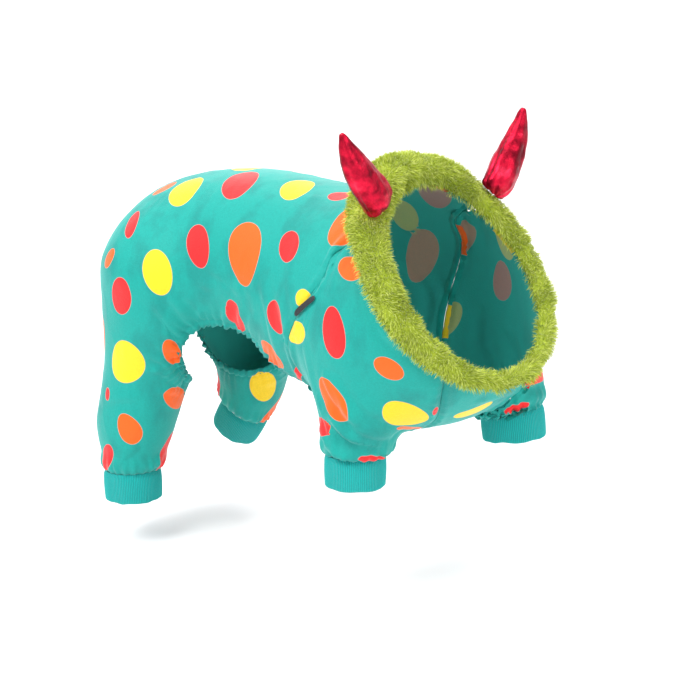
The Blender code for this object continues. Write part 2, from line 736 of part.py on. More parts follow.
def make_horn(name, side, hood_tree, material):
    """A stuffed horn with its foot cut to the hood's roll."""
    foot = neckline([HORN_PLACE[side]], side)[0]
    outward = foot - NECK_CENTRE
    outward /= np.linalg.norm(outward)
    _, side_share, nape_share = hood_weights(HORN_PLACE[side])
    roll = HOOD_NAPE_ROLL * nape_share + HOOD_SIDE_ROLL * side_share
    seat = place(foot + HORN_SEAT_OUT * roll * outward + HORN_SEAT_FORWARD * roll * NECK_FORWARD)
    axis = Vector((-math.sin(HORN_BACK[side]), side * math.sin(HORN_LEAN), math.cos(HORN_LEAN))).normalized()
    inward = Vector((0, -side, 0))
    inward = (inward - inward.dot(axis) * axis).normalized()
    ahead = axis.cross(inward)
    horn = bmesh.new()
    rings = []
    for along, hook, width, depth in HORN_PROFILE:
        centre = seat + axis * along * HORN_LENGTH - inward * (2 * hook - 1) * HORN_HOOK
        ring = []
        for i in range(HORN_SIDES):
            angle = 2 * math.pi * i / HORN_SIDES
            ring.append(centre + inward * math.cos(angle) * width * HORN_WIDTH / 2
                        + ahead * math.sin(angle) * depth * HORN_DEPTH / 2)
        rings.append(ring)
    ring = [seated(point, hood_tree) for point in rings[0]]
    crown = seated(seat, hood_tree) + axis * HORN_CROWN
    verts = [[horn.verts.new(point) for point in row] for row in [ring] + rings]
    for lower, upper in zip(verts, verts[1:]):
        for i in range(HORN_SIDES):
            k = (i + 1) % HORN_SIDES
            horn.faces.new((lower[i], lower[k], upper[k], upper[i]))
    foot_centre = horn.verts.new(crown)
    for i in range(HORN_SIDES):
        horn.faces.new((verts[0][(i + 1) % HORN_SIDES], verts[0][i], foot_centre))
    horn.faces.new(verts[-1])
    return finish(name, horn, material)


def seated(point, hood_tree):
    """The place just clear of the hood that lies nearest to a point."""
    hit, normal, _, _ = hood_tree.find_nearest(point)
    return hit + normal * HORN_SEAT_GAP


def make_label(seams, material):
    """A bare ribbon tab that lies on the sleeve, with its end at the raglan seam."""
    seam = seams[-1]["raglan"]
    start = seam[RAGLAN_STEPS // 2 + 1]
    direction = np.array((math.cos(LABEL_RISE), 0.0, math.sin(LABEL_RISE)))
    lengths = np.linspace(0, LABEL_LENGTH, LABEL_STEPS + 1)
    tab = bmesh.new()
    across_tab = np.array((-math.sin(LABEL_RISE), 0.0, math.cos(LABEL_RISE))) * LABEL_WIDTH / 2
    layers = []
    for lift in (LABEL_GAP, LABEL_GAP + LABEL_THICKNESS):
        layer = []
        for length in lengths:
            row = []
            for edge in (-1, 1):
                point = lay([start + direction * length + edge * across_tab])
                rise = lift + fold_height(point) + pleat_height(point)
                point = point + form_normal(point) * rise[:, None]
                row.append(tab.verts.new(place(point[0])))
            layer.append(row)
        layers.append(layer)
    below, above = layers
    for i in range(len(lengths) - 1):
        tab.faces.new((above[i][0], above[i][1], above[i + 1][1], above[i + 1][0]))
        tab.faces.new((below[i][1], below[i][0], below[i + 1][0], below[i + 1][1]))
        for edge in (0, 1):
            tab.faces.new((below[i][edge], above[i][edge], above[i + 1][edge], below[i + 1][edge]))
    for i in (0, len(lengths) - 1):
        tab.faces.new((below[i][0], below[i][1], above[i][1], above[i][0]))
    return finish("side_label", tab, material)


for old in list(bpy.data.objects):
    bpy.data.objects.remove(old, do_unlink=True)
SUIT = bpy.data.collections.new("plush_suit")
bpy.context.scene.collection.children.link(SUIT)
ORIGIN = top_at(0.0) - np.array((0.0, 0.0, WALL))

FLEECE = make_material("fleece", TEAL, 0.85)
RIB_KNIT = make_material("rib_knit", TURQUOISE, 0.8)
PLUSH = make_material("plush", LIME, 0.95)
LAME = make_material("lame", LAME_RED, 0.3, 0.7)
RIBBON = make_material("ribbon", RIBBON_BLACK, 0.5)

SEAMS = {side: side_seams(side) for side in (-1, 1)}
LEG_LOOPS = {side: np.vstack((SEAMS[side]["hip"], SEAMS[side]["thigh"][1:-1])) for side in (-1, 1)}
BELLY = belly_grid(SEAMS)
OPEN_EDGES = [SEAMS[side][edge] for side in (-1, 1) for edge in ("flank", "thigh")] + [BELLY[-1]]

cloth_panel(
    "back_body",
    [
        (saddle_grid(SEAMS), False),
        (limb_grid(LEG_LOOPS[-1], "rear_right", REAR_LEG_RINGS), True),
        (limb_grid(LEG_LOOPS[1], "rear_left", REAR_LEG_RINGS), True),
    ],
    FLEECE,
)
cloth_panel("belly_panel", [(BELLY, False)], FLEECE)
for side_name, side_sign in (("right", -1), ("left", 1)):
    parts = SEAMS[side_sign]
    sleeve_loop = np.vstack((parts["raglan"][::-1], parts["neck_side"][1:], parts["chest"][1:-1]))
    sleeve = limb_grid(sleeve_loop, "front_" + side_name, SLEEVE_RINGS)
    cloth_panel("sleeve_" + side_name, [(sleeve, True)], FLEECE)
    for end in ("front", "rear"):
        make_cuff(f"cuff_{end}_{side_name}", f"{end}_{side_name}", RIB_KNIT)

HOOD = make_hood(PLUSH)
HOOD_TREE = surface_tree(HOOD)
make_horn("horn_right", -1, HOOD_TREE, LAME)
make_horn("horn_left", 1, HOOD_TREE, LAME)
make_label(SEAMS, RIBBON)
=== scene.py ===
"""Looks of the plush suit: draped velour panels, ribbed cuffs, a shaggy hood and two stuffed horns.

Lengths are in metres in the frame's own axes: +X to the neck, +Y to the left side, +Z up.
"""
import math

import bmesh
import bpy
import numpy as np
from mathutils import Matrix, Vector, noise
from mathutils.bvhtree import BVHTree
from mathutils.kdtree import KDTree


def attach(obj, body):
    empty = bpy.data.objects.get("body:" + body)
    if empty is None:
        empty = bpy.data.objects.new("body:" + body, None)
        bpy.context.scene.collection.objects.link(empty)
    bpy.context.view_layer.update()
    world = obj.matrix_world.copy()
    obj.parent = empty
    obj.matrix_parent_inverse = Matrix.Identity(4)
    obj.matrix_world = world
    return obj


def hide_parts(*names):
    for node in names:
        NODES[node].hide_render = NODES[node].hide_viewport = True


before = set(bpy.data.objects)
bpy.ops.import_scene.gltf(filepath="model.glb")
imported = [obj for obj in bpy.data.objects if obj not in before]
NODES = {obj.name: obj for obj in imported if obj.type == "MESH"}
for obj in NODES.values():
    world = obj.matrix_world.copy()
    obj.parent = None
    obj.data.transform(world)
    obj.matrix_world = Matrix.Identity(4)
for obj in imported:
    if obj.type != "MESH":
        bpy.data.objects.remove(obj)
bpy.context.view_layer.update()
MM = 0.001

# Camera, at the photograph's viewing angle
CAMERA_AZIMUTH = math.radians(37)
CAMERA_ELEVATION = math.radians(15)
CAMERA_DISTANCE = 2.0
CAMERA_TARGET = Vector((0.0, -0.006, -0.1226))
LENS_MM = 132.5
SENSOR_MM = 36.0
IMAGE_SIZE = 679
FLOOR_Z = -0.3126

BACK = Vector((
    math.sin(CAMERA_AZIMUTH) * math.cos(CAMERA_ELEVATION),
    -math.cos(CAMERA_AZIMUTH) * math.cos(CAMERA_ELEVATION),
    math.sin(CAMERA_ELEVATION),
))
RIGHT = Vector((math.cos(CAMERA_AZIMUTH), math.sin(CAMERA_AZIMUTH), 0.0))
UP = BACK.cross(RIGHT)
EYE = CAMERA_TARGET + CAMERA_DISTANCE * BACK
FOCAL_PX = LENS_MM / SENSOR_MM * IMAGE_SIZE
CENTRE_PX = IMAGE_SIZE / 2

# Cloth
PANELS = ("back_body", "belly_panel", "sleeve_right", "sleeve_left")
CUFFS = ("cuff_front_right", "cuff_front_left", "cuff_rear_right", "cuff_rear_left")
MERGE = 1e-5
WALL = 2.0 * MM
WALL_TOLERANCE = 0.004 * MM
FLATNESS = math.radians(50)
LABEL_FLATNESS = math.radians(40)
SHAPE_LIMIT = math.radians(60)
OUTER_LEVELS = 3
LINING_LEVELS = 2
CLOTH = 1.5 * MM
NEIGHBOUR_REACH = 4 * MM

# Print: dots seen in the photograph, by pixel. Size is in pixels along and across the long axis,
# lean is the long axis from upright, clockwise, and taper is how much wider the upper end is.
DOTS = (
    # x, y, length, width, lean, taper, colour
    (161.5, 185.7, 27, 9, 62, 0.0, "orange"),
    (186.0, 189.4, 41, 17, 52, -0.20, "yellow"),
    (240.2, 182.3, 41, 20, 60, -0.12, "red"),
    (297.4, 188.0, 36, 17, 73, -0.15, "yellow"),
    (341.2, 195.8, 27, 9, 82, -0.20, "red"),
    (350.5, 222.0, 60, 27, 47, 0.10, "orange"),
    (109.5, 258.2, 21, 7, 22, 0.0, "orange"),
    (132.1, 223.6, 29, 9, 24, 0.0, "red"),
    (157.3, 272.5, 47, 29, -12, 0.03, "yellow"),
    (198.2, 246.1, 44, 22, -5, 0.08, "red"),
    (244.3, 253.6, 65, 31, 3, 0.20, "orange"),
    (288.9, 246.3, 32, 19, 14, 0.05, "red"),
    (120.9, 295.9, 37, 19, -7, -0.03, "red"),
    (125.9, 361.5, 43, 33, -12, -0.14, "yellow"),
    (128.9, 429.0, 33, 22, -30, -0.16, "orange"),
    (103.2, 458.8, 25, 10, 2, 0.0, "red"),
    (176.5, 398.0, 22, 21, 0, 0.0, "orange"),
    (167.9, 448.0, 26, 10, 14, 0.0, "red"),
    (171.8, 352.3, 25, 17, -22, 0.0, "orange"),
    (206.2, 331.7, 30, 24, -12, 0.0, "orange"),
    (235.6, 316.5, 35, 11, -28, 0.0, "red"),
    (275.5, 317.7, 35, 12, -12, 0.12, "red"),
    (271.6, 355.0, 35, 12, -37, 0.0, "orange"),
    (303.0, 298.5, 19, 15, -5, 0.0, "yellow"),
    (296.4, 332.8, 23, 18, -5, -0.10, "yellow"),
    (333.2, 332.6, 53, 22, -8, -0.08, "red"),
    (298.7, 373.9, 20, 6, -19, 0.0, "red"),
    (265.5, 366.0, 12, 6, 75, 0.0, "yellow"),
    (303.0, 393.0, 9, 7, -40, 0.0, "yellow"),
    (332.5, 400.0, 51, 20, -29, 0.0, "orange"),
    (319.4, 427.8, 24, 10, -24, 0.0, "red"),
    (372.1, 457.6, 25, 9, 85, 0.0, "red"),
    (351.0, 268.6, 24, 24, 0, 0.0, "orange"),
    (388.8, 368.6, 33, 19, -60, 0.0, "orange"),
    (405.7, 415.3, 47, 23, -82, 0.12, "yellow"),
    (474.0, 411.0, 42, 8, 70, 0.0, "yellow"),
    (496.0, 374.5, 45, 25, 66, 0.0, "red"),
    (542.0, 376.0, 29, 9, 43, 0.0, "red"),
    (515.8, 405.0, 25, 6, 76, 0.0, "red"),
    (547.0, 340.0, 27, 19, 15, 0.0, "yellow"),
    (433.0, 364.8, 13, 11, 10, 0.0, "yellow"),
    (435.3, 410.8, 8, 5, 30, 0.0, "red"),
    (263.6, 386.0, 29, 27, 0, 0.0, "yellow"),
    (274.0, 413.0, 10, 7, 20, 0.0, "red"),
    (107.5, 394.0, 13, 4, -5, 0.0, "red"),
    (412.0, 428.0, 30, 5, 86, 0.0, "orange"),
)
DOT_STRETCH = 2.4
DOT_REACH = 2.2

# Print on the sides that the photograph doesn't show
HIDDEN_SEED = 11
HIDDEN_SPACING = 40 * MM
HIDDEN_SIZES = ((52 * MM, 27 * MM), (36 * MM, 19 * MM), (30 * MM, 16 * MM), (40 * MM, 24 * MM))
HIDDEN_LEAN = math.radians(25)

# Folds seen in the photograph, by pixel: three points, then half width and rise in millimetres.
# A fold marked as mirrored is repeated on the far side.
FOLDS = (
    # x, y, x, y, x, y, half width, rise, mirrored
    (345, 414, 365, 431, 391, 434, 4.6, 3.6, True),
    (327, 415, 347, 435, 391, 442, 4.8, 4.0, True),
    (322, 433, 338, 450, 384, 456, 4.6, 3.6, True),
    (325, 378, 335, 398, 349, 418, 3.4, 2.2, True),
    (334, 382, 344, 403, 356, 421, 3.2, 2.2, True),
    (318, 398, 324, 420, 333, 440, 3.0, 1.8, True),
    (306, 352, 313, 385, 320, 415, 4.0, 1.4, True),
    (329, 268, 337, 247, 356, 230, 3.2, 2.0, True),
    (334, 284, 346, 256, 358, 240, 4.2, 1.8, True),
    (155, 306, 168, 322, 181, 337, 3.2, 1.1, True),
    (172, 300, 184, 315, 196, 330, 3.2, 1.3, True),
    (190, 300, 200, 314, 209, 327, 3.0, 1.1, True),
    (207, 286, 226, 316, 246, 351, 4.0, 1.8, True),
    (217, 274, 240, 318, 261, 360, 4.2, 1.8, True),
    (236, 290, 250, 325, 268, 358, 4.0, 1.5, True),
    (262, 286, 270, 325, 284, 368, 4.2, 1.4, True),
    (279, 300, 287, 339, 301, 380, 4.0, 1.5, True),
    (152, 372, 166, 374, 181, 384, 3.0, 1.3, True),
    (150, 356, 164, 364, 179, 376, 3.0, 1.2, True),
    (160, 392, 170, 391, 183, 393, 2.8, 0.9, True),
    (104, 402, 118, 398, 134, 398, 4.0, 1.2, True),
    (116, 463, 126, 455, 136, 447, 3.0, 1.1, True),
    (148, 466, 156, 462, 164, 452, 2.6, 1.2, True),
    (384, 334, 407, 351, 429, 361, 4.0, 1.2, False),
    (376, 318, 392, 338, 412, 350, 3.6, 1.0, False),
    (489, 411, 523, 412, 546, 408, 3.4, 2.2, False),
    (503, 405, 527, 401, 547, 391, 3.4, 2.0, False),
    (480, 402, 500, 396, 520, 392, 3.6, 1.4, False),
)
FOLD_HOLLOW = 0.42
FAR_SLEEVE_SHIFT = 0.036
FAR_LEG_SHIFT = 0.016
FAR_SPLIT_X = -0.02

# Seam, hem and gather sizes
SEAM_SINK = 1.25 * MM
SEAM_WIDTH = 2.2 * MM
SEAM_PUFF = 0.55 * MM
SEAM_PUCKER = 0.30 * MM
SEAM_PUCKER_PITCH = 8.5 * MM
HEM_WIDTH = 7.0 * MM
HEM_BULGE = 0.8 * MM
GATHER_RISE = 1.5 * MM
GATHER_PITCH = 5.6 * MM
GATHER_REACH = 13 * MM
CUFF_BLOUSE = 2.6 * MM
CUFF_GATHER = 0.75 * MM
CUFF_PITCH = 7.5 * MM
WRINKLE_RISE = 0.55 * MM
WRINKLE_SIZE = 26 * MM
SEAM_CLOSED_SHARE = 0.42
SEAM_CLOSED_REACH = 1.8 * MM
TURNED_ROWS = (
    # depth below the cloth, reach inward
    (0.7 * MM, -0.15 * MM),
    (1.7 * MM, 0.6 * MM),
    (2.1 * MM, 2.4 * MM),
    (2.0 * MM, 5.0 * MM),
)

# Colours
TEAL = (0.0, 0.335, 0.285, 1.0)
TEAL_DEEP = (0.0, 0.27, 0.235, 1.0)
TEAL_PALE = (0.05, 0.42, 0.38, 1.0)
DOT_COLOURS = {
    "red": (0.90, 0.012, 0.014, 1.0),
    "orange": (0.98, 0.120, 0.002, 1.0),
    "yellow": (0.98, 0.640, 0.010, 1.0),
}
DOT_RIM = (0.50, 0.42, 0.36, 1.0)
TURQUOISE = (0.0, 0.46, 0.43, 1.0)
LIME = (0.50, 0.60, 0.045, 1.0)
LIME_PALE = (0.72, 0.78, 0.20, 1.0)
LIME_DEEP = (0.25, 0.33, 0.01, 1.0)
HORN_RED = (0.62, 0.006, 0.035, 1.0)
HORN_DEEP = (0.22, 0.0, 0.012, 1.0)
HORN_PALE = (0.78, 0.03, 0.08, 1.0)
RIBBON_BLACK = (0.008, 0.008, 0.010, 1.0)
FLOOR_WHITE = (0.86, 0.86, 0.87, 1.0)


def pixel_direction(x, y):
    return (-BACK + RIGHT * ((x - CENTRE_PX) / FOCAL_PX) + UP * ((CENTRE_PX - y) / FOCAL_PX)).normalized()


# Mesh helpers
def is_rim(face):
    """Whether a face of a cloth node joins its two walls."""
    return any(abs(edge.calc_length() - WALL) < WALL_TOLERANCE for edge in face.edges)


def outer_wall(node):
    """The outer wall of a cloth node as a bmesh of quads."""
    sheet = bmesh.new()
    sheet.from_mesh(NODES[node].data)
    bmesh.ops.remove_doubles(sheet, verts=sheet.verts, dist=MERGE)
    sheet.faces.ensure_lookup_table()
    seen = set(face.index for face in sheet.faces if is_rim(face))
    best, best_area = [], 0.0
    for first in sheet.faces:
        if first.index in seen:
            continue
        seen.add(first.index)
        group, stack = [], [first]
        while stack:
            face = stack.pop()
            group.append(face)
            for edge in face.edges:
                for other in edge.link_faces:
                    if other.index not in seen:
                        seen.add(other.index)
                        stack.append(other)
        area = sum(face.calc_area() for face in group)
        if area > best_area:
            best, best_area = group, area
    keep = set(face.index for face in best)
    unwanted = [face for face in sheet.faces if face.index not in keep]
    bmesh.ops.delete(sheet, geom=unwanted, context="FACES")
    bmesh.ops.join_triangles(
        sheet, faces=sheet.faces,
        angle_face_threshold=FLATNESS, angle_shape_threshold=SHAPE_LIMIT,
    )
    mesh = bpy.data.meshes.new(node + "_cage")
    sheet.to_mesh(mesh)
    sheet.free()
    return mesh


def quad_cage(node, flatness):
    """A whole node as a cage of quads."""
    cage = bmesh.new()
    cage.from_mesh(NODES[node].data)
    bmesh.ops.remove_doubles(cage, verts=cage.verts, dist=MERGE)
    bmesh.ops.join_triangles(
        cage, faces=cage.faces, angle_face_threshold=flatness, angle_shape_threshold=SHAPE_LIMIT,
    )
    mesh = bpy.data.meshes.new(node + "_cage")
    cage.to_mesh(mesh)
    cage.free()
    return mesh


def subdivided(mesh, levels):
    """Catmull-Clark points, normals and quads of a mesh."""
    obj = bpy.data.objects.new(mesh.name + "_fine", mesh)
    bpy.context.scene.collection.objects.link(obj)
    smooth = obj.modifiers.new("Smooth", "SUBSURF")
    smooth.levels = smooth.render_levels = levels
    smooth.boundary_smooth = "PRESERVE_CORNERS"
    graph = bpy.context.evaluated_depsgraph_get()
    fine = bpy.data.meshes.new_from_object(obj.evaluated_get(graph))
    points = read_points(fine)
    normals = np.zeros(len(fine.vertices) * 3)
    fine.vertices.foreach_get("normal", normals)
    quads = np.array([tuple(face.vertices) for face in fine.polygons])
    bpy.data.objects.remove(obj)
    bpy.data.meshes.remove(fine)
    return points, normals.reshape(-1, 3), quads


def read_points(mesh):
    points = np.zeros(len(mesh.vertices) * 3)
    mesh.vertices.foreach_get("co", points)
    return points.reshape(-1, 3)


def boundary_loops(quads):
    """Closed chains of points along the open edges, each run so that the faces lie on its left."""
    directed = set()
    for quad in quads:
        for i in range(len(quad)):
            directed.add((quad[i - 1], quad[i]))
    following = {a: b for a, b in directed if (b, a) not in directed}
    loops = []
    while following:
        start, point = following.popitem()
        loop = [start]
        while point != start:
            loop.append(point)
            point = following.pop(point)
        loops.append(loop)
    return loops


def make_object(name, points, faces, materials, smooth=True):
    mesh = bpy.data.meshes.new(name)
    mesh.from_pydata([tuple(point) for point in points], [], [tuple(face) for face in faces])
    for material in materials:
        mesh.materials.append(material)
    if smooth:
        mesh.shade_smooth()
    obj = bpy.data.objects.new(name, mesh)
    bpy.context.scene.collection.objects.link(obj)
    return obj


def add_values(mesh, name, values, kind="FLOAT"):
    layer = mesh.attributes.new(name, kind, "POINT")
    if kind == "FLOAT":
        layer.data.foreach_set("value", np.asarray(values, np.float32))
    else:
        layer.data.foreach_set("color", np.asarray(values, np.float32).ravel())


def wave_noise(points, size, seed=0.0):
    shift = Vector((seed, 2 * seed, 3 * seed))
    return np.array([noise.noise(Vector(point) / size + shift) for point in points])


# Edge bookkeeping of a panel
class Edges:
    """Open edges of a panel: each point, how far along its loop it lies and what it is sewn to."""

    def __init__(self, name, points, quads):
        self.points, self.travel, self.along, self.kinds = [], [], [], []
        self.facing = []
        for loop in boundary_loops(quads):
            ring = points[loop]
            step = np.linalg.norm(np.roll(ring, -1, axis=0) - ring, axis=1)
            travel = np.concatenate(([0], np.cumsum(step)[:-1]))
            along = np.roll(ring, -1, axis=0) - np.roll(ring, 1, axis=0)
            along /= np.linalg.norm(along, axis=1)[:, None]
            self.points.append(ring)
            self.travel.append(travel)
            self.along.append(along)
            for point in ring:
                kind, partner = edge_kind(name, Vector(point))
                self.kinds.append(kind)
                self.facing.append(partner)
        self.points = np.vstack(self.points)
        self.travel = np.concatenate(self.travel)
        self.along = np.vstack(self.along)
        self.kinds = np.array(self.kinds)
        self.trees = {}
        for kind in ("seam", "cuff", "neck", "open"):
            chosen = np.nonzero(self.kinds == kind)[0]
            tree = KDTree(max(len(chosen), 1))
            for index in chosen:
                tree.insert(self.points[index], int(index))
            tree.balance()
            self.trees[kind] = tree if len(chosen) else None

    def measure(self, kind, points):
        """Distance to the nearest edge of that kind, and the place along it."""
        tree = self.trees[kind]
        if tree is None:
            return np.full(len(points), 1.0), np.zeros(len(points))
        found = [tree.find(point) for point in points]
        nearest = np.array([hit[1] for hit in found])
        gap = np.array([hit[2] for hit in found])
        shift = ((points - self.points[nearest]) * self.along[nearest]).sum(axis=1)
        return gap, self.travel[nearest] + shift


NODE_TREES = {}


def node_tree(node):
    if node not in NODE_TREES:
        mesh = NODES[node].data
        mesh.calc_loop_triangles()
        corners = [tuple(triangle.vertices) for triangle in mesh.loop_triangles]
        NODE_TREES[node] = BVHTree.FromPolygons([vert.co.copy() for vert in mesh.vertices], corners)
    return NODE_TREES[node]


def edge_kind(name, point):
    best = ("open", None)
    best_gap = NEIGHBOUR_REACH
    for other in PANELS + CUFFS + ("hood",):
        if other == name:
            continue
        hit, _, _, gap = node_tree(other).find_nearest(point)
        if gap is not None and gap < best_gap:
            best_gap = gap
            kind = "seam" if other in PANELS else "cuff" if other in CUFFS else "neck"
            best = (kind, other)
    return best


# Rest surfaces of all panels
CAGES = {name: outer_wall(name) for name in PANELS}
REST = {name: subdivided(CAGES[name], OUTER_LEVELS) for name in PANELS}
EDGES = {name: Edges(name, REST[name][0], REST[name][2]) for name in PANELS}
REST_TREES = {
    name: BVHTree.FromPolygons([Vector(point) for point in points], [tuple(quad) for quad in quads])
    for name, (points, _, quads) in REST.items()
}


def first_hit(x, y):
    """The panel, point and normal that the photograph's pixel looks at."""
    for step in range(14):
        share = step / 60
        px = x + (CENTRE_PX - x) * share
        py = y + (CENTRE_PX - y) * share
        direction = pixel_direction(px, py)
        best = None
        for name, tree in REST_TREES.items():
            hit, normal, _, gap = tree.ray_cast(EYE, direction)
            if hit is not None and (best is None or gap < best[3]):
                best = (name, hit, normal, gap)
        if best is not None:
            return best[:3]
    return None


def nearest_on_panels(point):
    best = None
    for name, tree in REST_TREES.items():
        hit, normal, _, gap = tree.find_nearest(point)
        if best is None or gap < best[3]:
            best = (name, hit, normal, gap)
    return best[:3]


def plane_hit(x, y, point, normal):
    direction = pixel_direction(x, y)
    slope = direction.dot(normal)
    if abs(slope) < 0.08:
        slope = math.copysign(0.08, slope)
    return EYE + direction * ((point - EYE).dot(normal) / slope)


# Print
def photo_dots():
    """Panel, centre, normal, half-length vector, half-width vector, taper and colour of each seen dot."""
    found = []
    for x, y, length, width, lean, taper, colour in DOTS:
        hit = first_hit(x, y)
        if hit is None:
            continue
        name, centre, normal = hit
        if normal.dot(BACK) < 0:
            normal = -normal
        turn = math.radians(lean)
        vectors = []
        for size, dx, dy in (
            (length, math.sin(turn), -math.cos(turn)),
            (width, math.cos(turn), math.sin(turn)),
        ):
            real = size * (centre - EYE).length / FOCAL_PX / 2
            end = plane_hit(x + dx * size / 2, y + dy * size / 2, centre, normal)
            vector = end - plane_hit(x, y, centre, normal)
            if vector.length > DOT_STRETCH * real:
                vector = vector.normalized() * DOT_STRETCH * real
            vectors.append(vector)
        found.append((name, centre, normal, vectors[0], vectors[1], taper, colour))
    return found


def hidden_dots(seen):
    """A seeded layout of the same dots on the surfaces that the photograph doesn't show."""
    rng = np.random.default_rng(HIDDEN_SEED)
    placed = [(np.array(dot[1]), dot[6]) for dot in seen]
    found = []
    pool = []
    for name in PANELS:
        points, normals, _ = REST[name]
        for index in rng.permutation(len(points))[:2500]:
            pool.append((name, points[index], normals[index]))
    for choice in rng.permutation(len(pool)):
        name, point, normal = pool[choice]
        gaps = np.array([np.linalg.norm(point - other) for other, _ in placed])
        if gaps.min() < HIDDEN_SPACING:
            continue
        if seen_from_camera(Vector(point), Vector(normal)):
            continue
        near = [colour for gap, (_, colour) in zip(gaps, placed) if gap < 1.8 * HIDDEN_SPACING]
        colour = min(DOT_COLOURS, key=lambda key: (near.count(key), rng.random()))
        length, width = HIDDEN_SIZES[int(rng.integers(len(HIDDEN_SIZES)))]
        normal = Vector(normal)
        upright = Vector((0.25, 0.0, 1.0))
        upright = upright - upright.dot(normal) * normal
        if upright.length < 0.3:
            upright = Vector((0.0, 1.0, 0.0)) - normal.y * normal
        upright.normalize()
        side = upright.cross(normal)
        turn = rng.uniform(-HIDDEN_LEAN, HIDDEN_LEAN)
        long_axis = upright * math.cos(turn) + side * math.sin(turn)
        short_axis = long_axis.cross(normal)
        taper = rng.uniform(-0.18, 0.18)
        halves = (long_axis * length / 2, short_axis * width / 2)
        found.append((name, Vector(point), normal, *halves, taper, colour))
        placed.append((np.array(point), colour))
    return found


def seen_from_camera(point, normal):
    toward = (EYE - point).normalized()
    if normal.dot(toward) < 0.12:
        return False
    start = point + normal * 2 * MM
    return not any(tree.ray_cast(start, toward)[0] for tree in REST_TREES.values())


def print_fields(name, points, normals, dots):
    """Distance in metres to the nearest dot's outline, negative inside, and that dot's colour."""
    edge = np.full(len(points), 1.0)
    tint = np.tile(np.array(TEAL), (len(points), 1))
    for panel, centre, normal, long_half, short_half, taper, colour in dots:
        if panel != name:
            continue
        offset = points - np.array(centre)
        reach = np.linalg.norm(offset, axis=1)
        close = reach < DOT_REACH * max(long_half.length, short_half.length)
        near = np.nonzero(close & (normals @ np.array(normal) > -0.3))[0]
        if not len(near):
            continue
        local = offset[near]
        flat = local - (local @ np.array(normal))[:, None] * np.array(normal)
        flat *= (reach[near] / np.maximum(np.linalg.norm(flat, axis=1), 1e-6))[:, None]
        a, b = np.array(long_half), np.array(short_half)
        gram = np.array(((a @ a, a @ b), (a @ b, b @ b)))
        along, across = np.linalg.solve(gram, np.array((flat @ a, flat @ b)))
        across = across / np.maximum(1 + taper * along, 0.3)
        radius = np.maximum(np.sqrt(along ** 2 + across ** 2), 1e-6)
        distance = (radius - 1) * np.linalg.norm(flat, axis=1) / radius
        closer = distance < edge[near]
        chosen = near[closer]
        edge[chosen] = distance[closer]
        tint[chosen] = DOT_COLOURS[colour]
    return edge, tint


# Folds
def fold_lines():
    """Each fold as three points on the rest surface, its normal, half width and rise."""
    lines = []
    for x0, y0, x1, y1, x2, y2, width, rise, mirrored in FOLDS:
        hits = [first_hit(x, y) for x, y in ((x0, y0), (x1, y1), (x2, y2))]
        if any(hit is None for hit in hits):
            continue
        points = [np.array(hit[1]) for hit in hits]
        lines.append((points, np.array(hits[1][2]), width * MM, rise * MM))
        if mirrored:
            far = []
            for point in points:
                shift = FAR_SLEEVE_SHIFT if point[0] > FAR_SPLIT_X else FAR_LEG_SHIFT
                if point[2] > -0.09:
                    shift *= 0.4
                far.append(nearest_on_panels(Vector((point[0] + shift, -point[1], point[2]))))
            lines.append(([np.array(hit[1]) for hit in far], np.array(far[1][2]), width * MM, rise * MM))
    return lines


def curve_through(points, steps=10):
    a, b, c = points
    control = 2 * b - (a + c) / 2
    t = np.linspace(0, 1, steps + 1)[:, None]
    return (1 - t) ** 2 * a + 2 * t * (1 - t) * control + t ** 2 * c


def fold_rise(points, normals, lines):
    rise = np.zeros(len(points))
    for ends, facing, width, height in lines:
        path = curve_through(ends)
        centre = path.mean(axis=0)
        reach = np.linalg.norm(path - centre, axis=1).max() + 4 * width
        near = np.nonzero((np.linalg.norm(points - centre, axis=1) < reach) & (normals @ facing > -0.2))[0]
        if not len(near):
            continue
        local = points[near]
        best = np.full(len(near), 1.0)
        place = np.zeros(len(near))
        side = np.zeros(len(near))
        steps = len(path) - 1
        for i in range(steps):
            start, run = path[i], path[i + 1] - path[i]
            t = np.clip((local - start) @ run / (run @ run), 0, 1)
            offset = local - start - t[:, None] * run
            gap = np.linalg.norm(offset, axis=1)
            closer = gap < best
            best[closer] = gap[closer]
            place[closer] = (i + t[closer]) / steps
            side[closer] = np.sign(offset[closer] @ np.cross(run, facing))
        x = best / width * (1 + 0.22 * side)
        fade = np.sin(math.pi * np.clip(0.12 + 0.76 * place, 0, 1)) ** 0.8
        hollow = FOLD_HOLLOW * np.exp(-((x - 1.9) / 0.8) ** 2)
        rise[near] += height * fade * (np.exp(-x ** 2) - hollow)
    return rise


